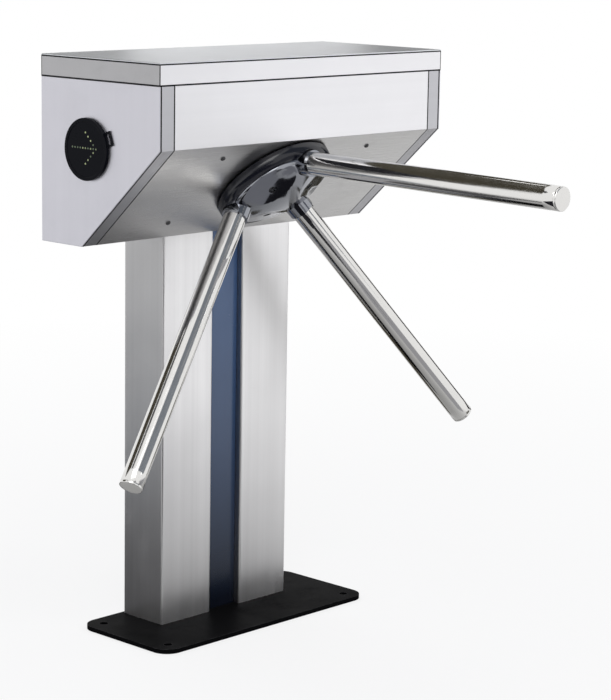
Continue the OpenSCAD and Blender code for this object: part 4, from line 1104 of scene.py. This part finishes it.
def dome_mesh():
    """Half an ellipse over a short upright wall."""
    wall = RING_TOP - HEAD_SINK
    rise = HEAD_TOP - wall
    outline = [(0, CARRIER_TOP), (HEAD_R - HEAD_CHAMFER, CARRIER_TOP), (HEAD_R, CARRIER_TOP + HEAD_CHAMFER)]
    outline += [(HEAD_R * cos(t), wall + rise * sin(t)) for t in [radians(4.5 * k) for k in range(20)]]
    return turned("dome", outline + [(0, HEAD_TOP)], steps=128)


def flat_cutters():
    """Blocks that plane the three flats between the arms."""
    made = bmesh.new()
    bmesh.ops.create_cube(made, size=1)
    bmesh.ops.scale(made, vec=CUTTER, verts=made.verts)
    bmesh.ops.translate(made, vec=(0, 0, CUTTER[2] / 2), verts=made.verts)
    mesh = bpy.data.meshes.new("flat")
    made.to_mesh(mesh)
    made.free()
    tilt = Matrix.Translation((0, FLAT_OUT, HEAD_TOP - FLAT_DEPTH)) @ Matrix.Rotation(-FLAT_TILT, 4, "X")
    return thrice(mesh, tilt, BETWEEN_ARMS)


def screw_wells():
    """Round wells for the three hub screws."""
    floor = HEAD_TOP - SCREW_SINK
    outline = [(0, floor), (WELL_R, floor), (WELL_R, CLEAR_OF_HEAD), (0, CLEAR_OF_HEAD)]
    return thrice(turned("well", outline, steps=40), Matrix.Translation((0, HUB_SCREW_R, 0)), BETWEEN_ARMS)


dome = carved(dome_mesh(), flat_cutters(), "dome")
sockets = rods(SOCKET_R, SOCKET_START, SOCKET_END, steps=72)
socketed = carved(dome.data.copy(), sockets, "socketed", "UNION")
head = carved(socketed.data.copy(), screw_wells() + rods(ARM_R, ARM_ROOT, BORE_END, steps=96), "head")
for spare in (dome, socketed):
    bpy.data.objects.remove(spare)
head.data.transform(hub_matrix)
casting = edged(head, HEAD_ROUND, "hub_head_casting", segments=3)
# the head wears the darker copy of the polished steel, a painted shade
keep(casting, "rotor", "polished_steel", "hub_head", coat="dark_chrome")

# %% [markdown]
# ## Screws
# The hub's screws have cap heads and the panel's have button heads, all with a hex socket. The
# outline of one screw is turned once and the trees above put the copies in place.

# %% Screws
HEAD_EDGE = 0.0006
KEY_CHAMFER = 0.0003
KEY_MOUTH = 0.0004
BUTTON_MOUTH = 0.0002
DRILL_POINT = 1.15
BUTTON_POINT = 1.1
BUTTON_LAND = 1.25


def screw(radius, crown, socket, shank_r, shank):
    """A screw round Z: its shank below, its crown above and the socket that goes down into it."""
    outline = [(0, -shank), (shank_r, -shank), (shank_r, 0), (radius, 0)] + crown
    first_hex = len(outline)
    return turned("screw", outline + socket, steps=36, hex_rings=(first_hex, first_hex + 1), angle=30)


def socket_down(radius, height, mouth, depth, point):
    """The outline of a hex socket from its mouth down to the point that its drill leaves."""
    return [(radius, height - mouth), (radius, height - depth), (0, height - depth * point)]


def socket_head(radius, height, socket_r, depth, **shaft):
    """A cap screw round Z with its head above the surface and its shank below."""
    crown = arc(radius - HEAD_EDGE, height - HEAD_EDGE, HEAD_EDGE, 0, 90, 4)
    crown += [(socket_r + KEY_MOUTH, height)]
    return screw(radius, crown, socket_down(socket_r, height, KEY_CHAMFER, depth, DRILL_POINT), **shaft)


def button_head(radius, height, socket_r, depth, **shaft):
    """A low domed screw round Z."""
    land, rim = socket_r * BUTTON_LAND, KEY_CHAMFER
    crown = [(radius, rim)] + [(land + (radius - land) * cos(t), rim + (height - rim) * sin(t))
                               for t in [radians(18 * k) for k in range(1, 6)]]
    return screw(radius, crown, socket_down(socket_r, height, BUTTON_MOUTH, depth, BUTTON_POINT), **shaft)


hub_screw = socket_head(radius=0.0065, height=0.008, socket_r=0.0034, depth=0.004, shank_r=0.004, shank=0.022)
hub_screw.transform(Matrix.Translation((0, HUB_SCREW_R, HEAD_TOP - SCREW_SINK)))
keep(grown(copies_round, "hub_cap_screws", hub_screw, "black_screws", Count=3, Start=BETWEEN_ARMS, **on_hub),
     "rotor", "black_screws", "hub_screws")

# %% Slope screws
SLOPE_SCREW_X = 0.170
HUB_FROM_TOP = 0.1074
SLOPE_RISE = 0.167
SLOPE_LEAN = radians(47.5)
SLOPE_LEN = SLOPE_RISE / cos(SLOPE_LEAN)
SCREW_FROM_TOP = 0.033
SCREW_FROM_FOOT = 0.042
upper = HUB_FROM_TOP - SCREW_FROM_TOP
lower = HUB_FROM_TOP - SLOPE_LEN + SCREW_FROM_FOOT
screw_centre = hub_matrix @ Vector((0, (upper + lower) / 2, 0))
slope_screw = button_head(
    radius=0.0042, height=0.0022, socket_r=0.0021, depth=0.0013, shank_r=0.0025, shank=0.005)
keep(grown(copies_in_grid, "slope_button_screws", slope_screw, "black_screws", Width=2 * SLOPE_SCREW_X,
           Height=upper - lower, Place=tuple(screw_centre), Turn=hub_turn),
     "root", "black_screws", "slope_screws")

# %% [markdown]
# ## Direction signs
# Each end carries a black disc with a dotted arrow. The disc is the CAD bezel with its edges
# rounded. The lamps are small domed lenses, and a third tree sets them out: one line for the
# shaft and two lines that slant back from the tip, all with the same pitch.

# %% Tree: dotted arrow
def arrow_tree():
    """Copies of a lens along an arrow in the XY plane that points along X."""
    tree, given, gives = copy_tree(
        "Dotted arrow", {"Pitch": 0.01, "Shaft lamps": 10, "Barb lamps": 4, "Tip": (0.0, 0.0, 0.0)})
    back = maths(tree, "MULTIPLY", given["Pitch"], -1.0)
    lines = []
    strokes = ((0.0, "Shaft lamps", 0.0), (1.0, "Barb lamps", 1.0), (-1.0, "Barb lamps", 1.0))
    for slant, count, first in strokes:
        aside = maths(tree, "MULTIPLY", given["Pitch"], slant)
        step = put(tree, "ShaderNodeCombineXYZ", {"X": back, "Y": aside}).outputs[0]
        start = put(tree, "ShaderNodeVectorMath", {0: step, 1: (first, first, first), 2: given["Tip"]},
                    operation="MULTIPLY_ADD").outputs[0]
        lines.append(put(tree, "GeometryNodeMeshLine",
                         {"Count": given[count], "Start Location": start, "Offset": step}).outputs[0])
    together = put(tree, "GeometryNodeJoinGeometry")
    for line in lines:
        tree.links.new(line, together.inputs[0])
    return finish_tree(tree, given, gives, {"Points": together.outputs[0]})


dotted_arrow = arrow_tree()
print("tree", dotted_arrow.name)

# %% Signs
LAMP_R = 0.0017
LAMP_PITCH = 0.0062
END_X = 0.330
SIGN_FACE = 0.005
SIGN_Y = -0.0115
SIGN_Z = 0.835
ARROW_TIP = (0.024, 0.002)
LENS_BACK = -0.004
LENS_RIM, LENS_RISE, LENS_TOP = -0.0006, 0.0010, 0.0004


def lens():
    """A round lamp with a domed front, its back sunk behind the bezel's face."""
    dome = [(LAMP_R * cos(t), LENS_RIM + LENS_RISE * sin(t)) for t in [radians(15 * k) for k in range(6)]]
    return turned("lens", [(0, LENS_BACK), (LAMP_R, LENS_BACK)] + dome + [(0, LENS_TOP)], steps=20)


keep_softened("sign_bezels", width=SHEET_EDGE)
to_passage, upward = Vector((0, -1, 0)), Vector((0, 0, 1))
for side, name in ((-1, "left_arrow_lamps"), (1, "right_arrow_lamps")):
    rows = Matrix((to_passage, -side * upward, Vector((side, 0, 0)))).transposed()
    tip = (ARROW_TIP[0], -side * ARROW_TIP[1], 0.0)
    place = (side * (END_X + SIGN_FACE), SIGN_Y, SIGN_Z)
    arrow = grown(dotted_arrow, name, lens(), "lamp_lens", Pitch=LAMP_PITCH, Tip=tip, Place=place,
                  Turn=tuple(rows.to_euler()))
    keep(arrow, "root", "lamp_lens", "sign_lamps")

# %% [markdown]
# ## Hinges and the lock
# Each hinge leaf is held by two countersunk screws. A pair of screws is turned once, and the
# grid tree repeats the pair on the other hinge. The leaves, pins and lock keep their CAD form
# with a broken edge.

# %% Hinges and lock
HINGE_X = 0.210
LEAF_SCREW_X = 0.020
LEAF_FACE = 0.104
LEAF_MIDDLES = {"lid": 0.9610, "root": 0.9280}
LEAF_HEAD = [(0, -0.0018), (0.0015, -0.0018), (0.0034, -0.0002), (0.0034, 0.0001), (0.0031, 0.0004)]
LEAF_SOCKET = [(0.0018, 0.0004), (0.0018, -0.0006), (0, -0.0008)]


def screw_pair():
    """Two countersunk heads side by side, nearly flush with the leaf."""
    pair = bmesh.new()
    first_hex = len(LEAF_HEAD)
    for x in (-LEAF_SCREW_X, LEAF_SCREW_X):
        mesh = turned("head", LEAF_HEAD + LEAF_SOCKET, steps=24, hex_rings=(first_hex, first_hex + 1))
        mesh.transform(Matrix.Translation((x, 0, 0)))
        pair.from_mesh(mesh)
    mesh = bpy.data.meshes.new("pair")
    pair.to_mesh(mesh)
    pair.free()
    smooth(mesh, 30)
    return mesh


for body, height in LEAF_MIDDLES.items():
    pair = grown(copies_in_grid, f"hinge_screws_{body}", screw_pair(), "bolt_steel", Width=2 * HINGE_X,
                 Rows=1, Place=(0.0, LEAF_FACE, height), Turn=(-pi / 2, 0.0, 0.0))
    keep(pair, body, "bolt_steel")

# %% [markdown]
# ## Everything else
# The parts inside the cabinet and the small hardware keep their CAD meshes and take the finish
# of their slot.

# %% Broken edges inside the cabinet
INSIDE = {
    "chassis_plate": 0.0006, "lock_plate": 0.0006, "mechanism_ribs": 0.0006, "bearing_housing": 0.0008,
    "ratchet_wheel": 0.0004, "left_pawl": 0.0005, "right_pawl": 0.0005, "solenoids": 0.0010,
    "damper_body": 0.0010, "power_supply": 0.0020, "hub_carrier": 0.0008, "lock_plate_spacers": 0.0004,
    "chassis_bolts": 0.0004, "column_bolts": 0.0005, "hinge_lid_leaves": 0.0004, "hinge_fixed_leaves": 0.0004,
    "lock_housing": 0.0003, "lock_barrel": 0.0003, "left_plunger": 0.0004, "right_plunger": 0.0004,
    "pawl_pins": 0.0004, "main_shaft": 0.0010, "shaft_fasteners": 0.0006, "control_board": 0.0003,
}
for node, width in INSIDE.items():
    keep_softened(node, width=width, least_angle=40)

# %% Finishes for the CAD nodes
for part in frame["record"]["subparts"]:
    mesh = frame["nodes"][part["node"]].data
    mesh.materials.clear()
    mesh.materials.append(finish[part["material_slot"]])
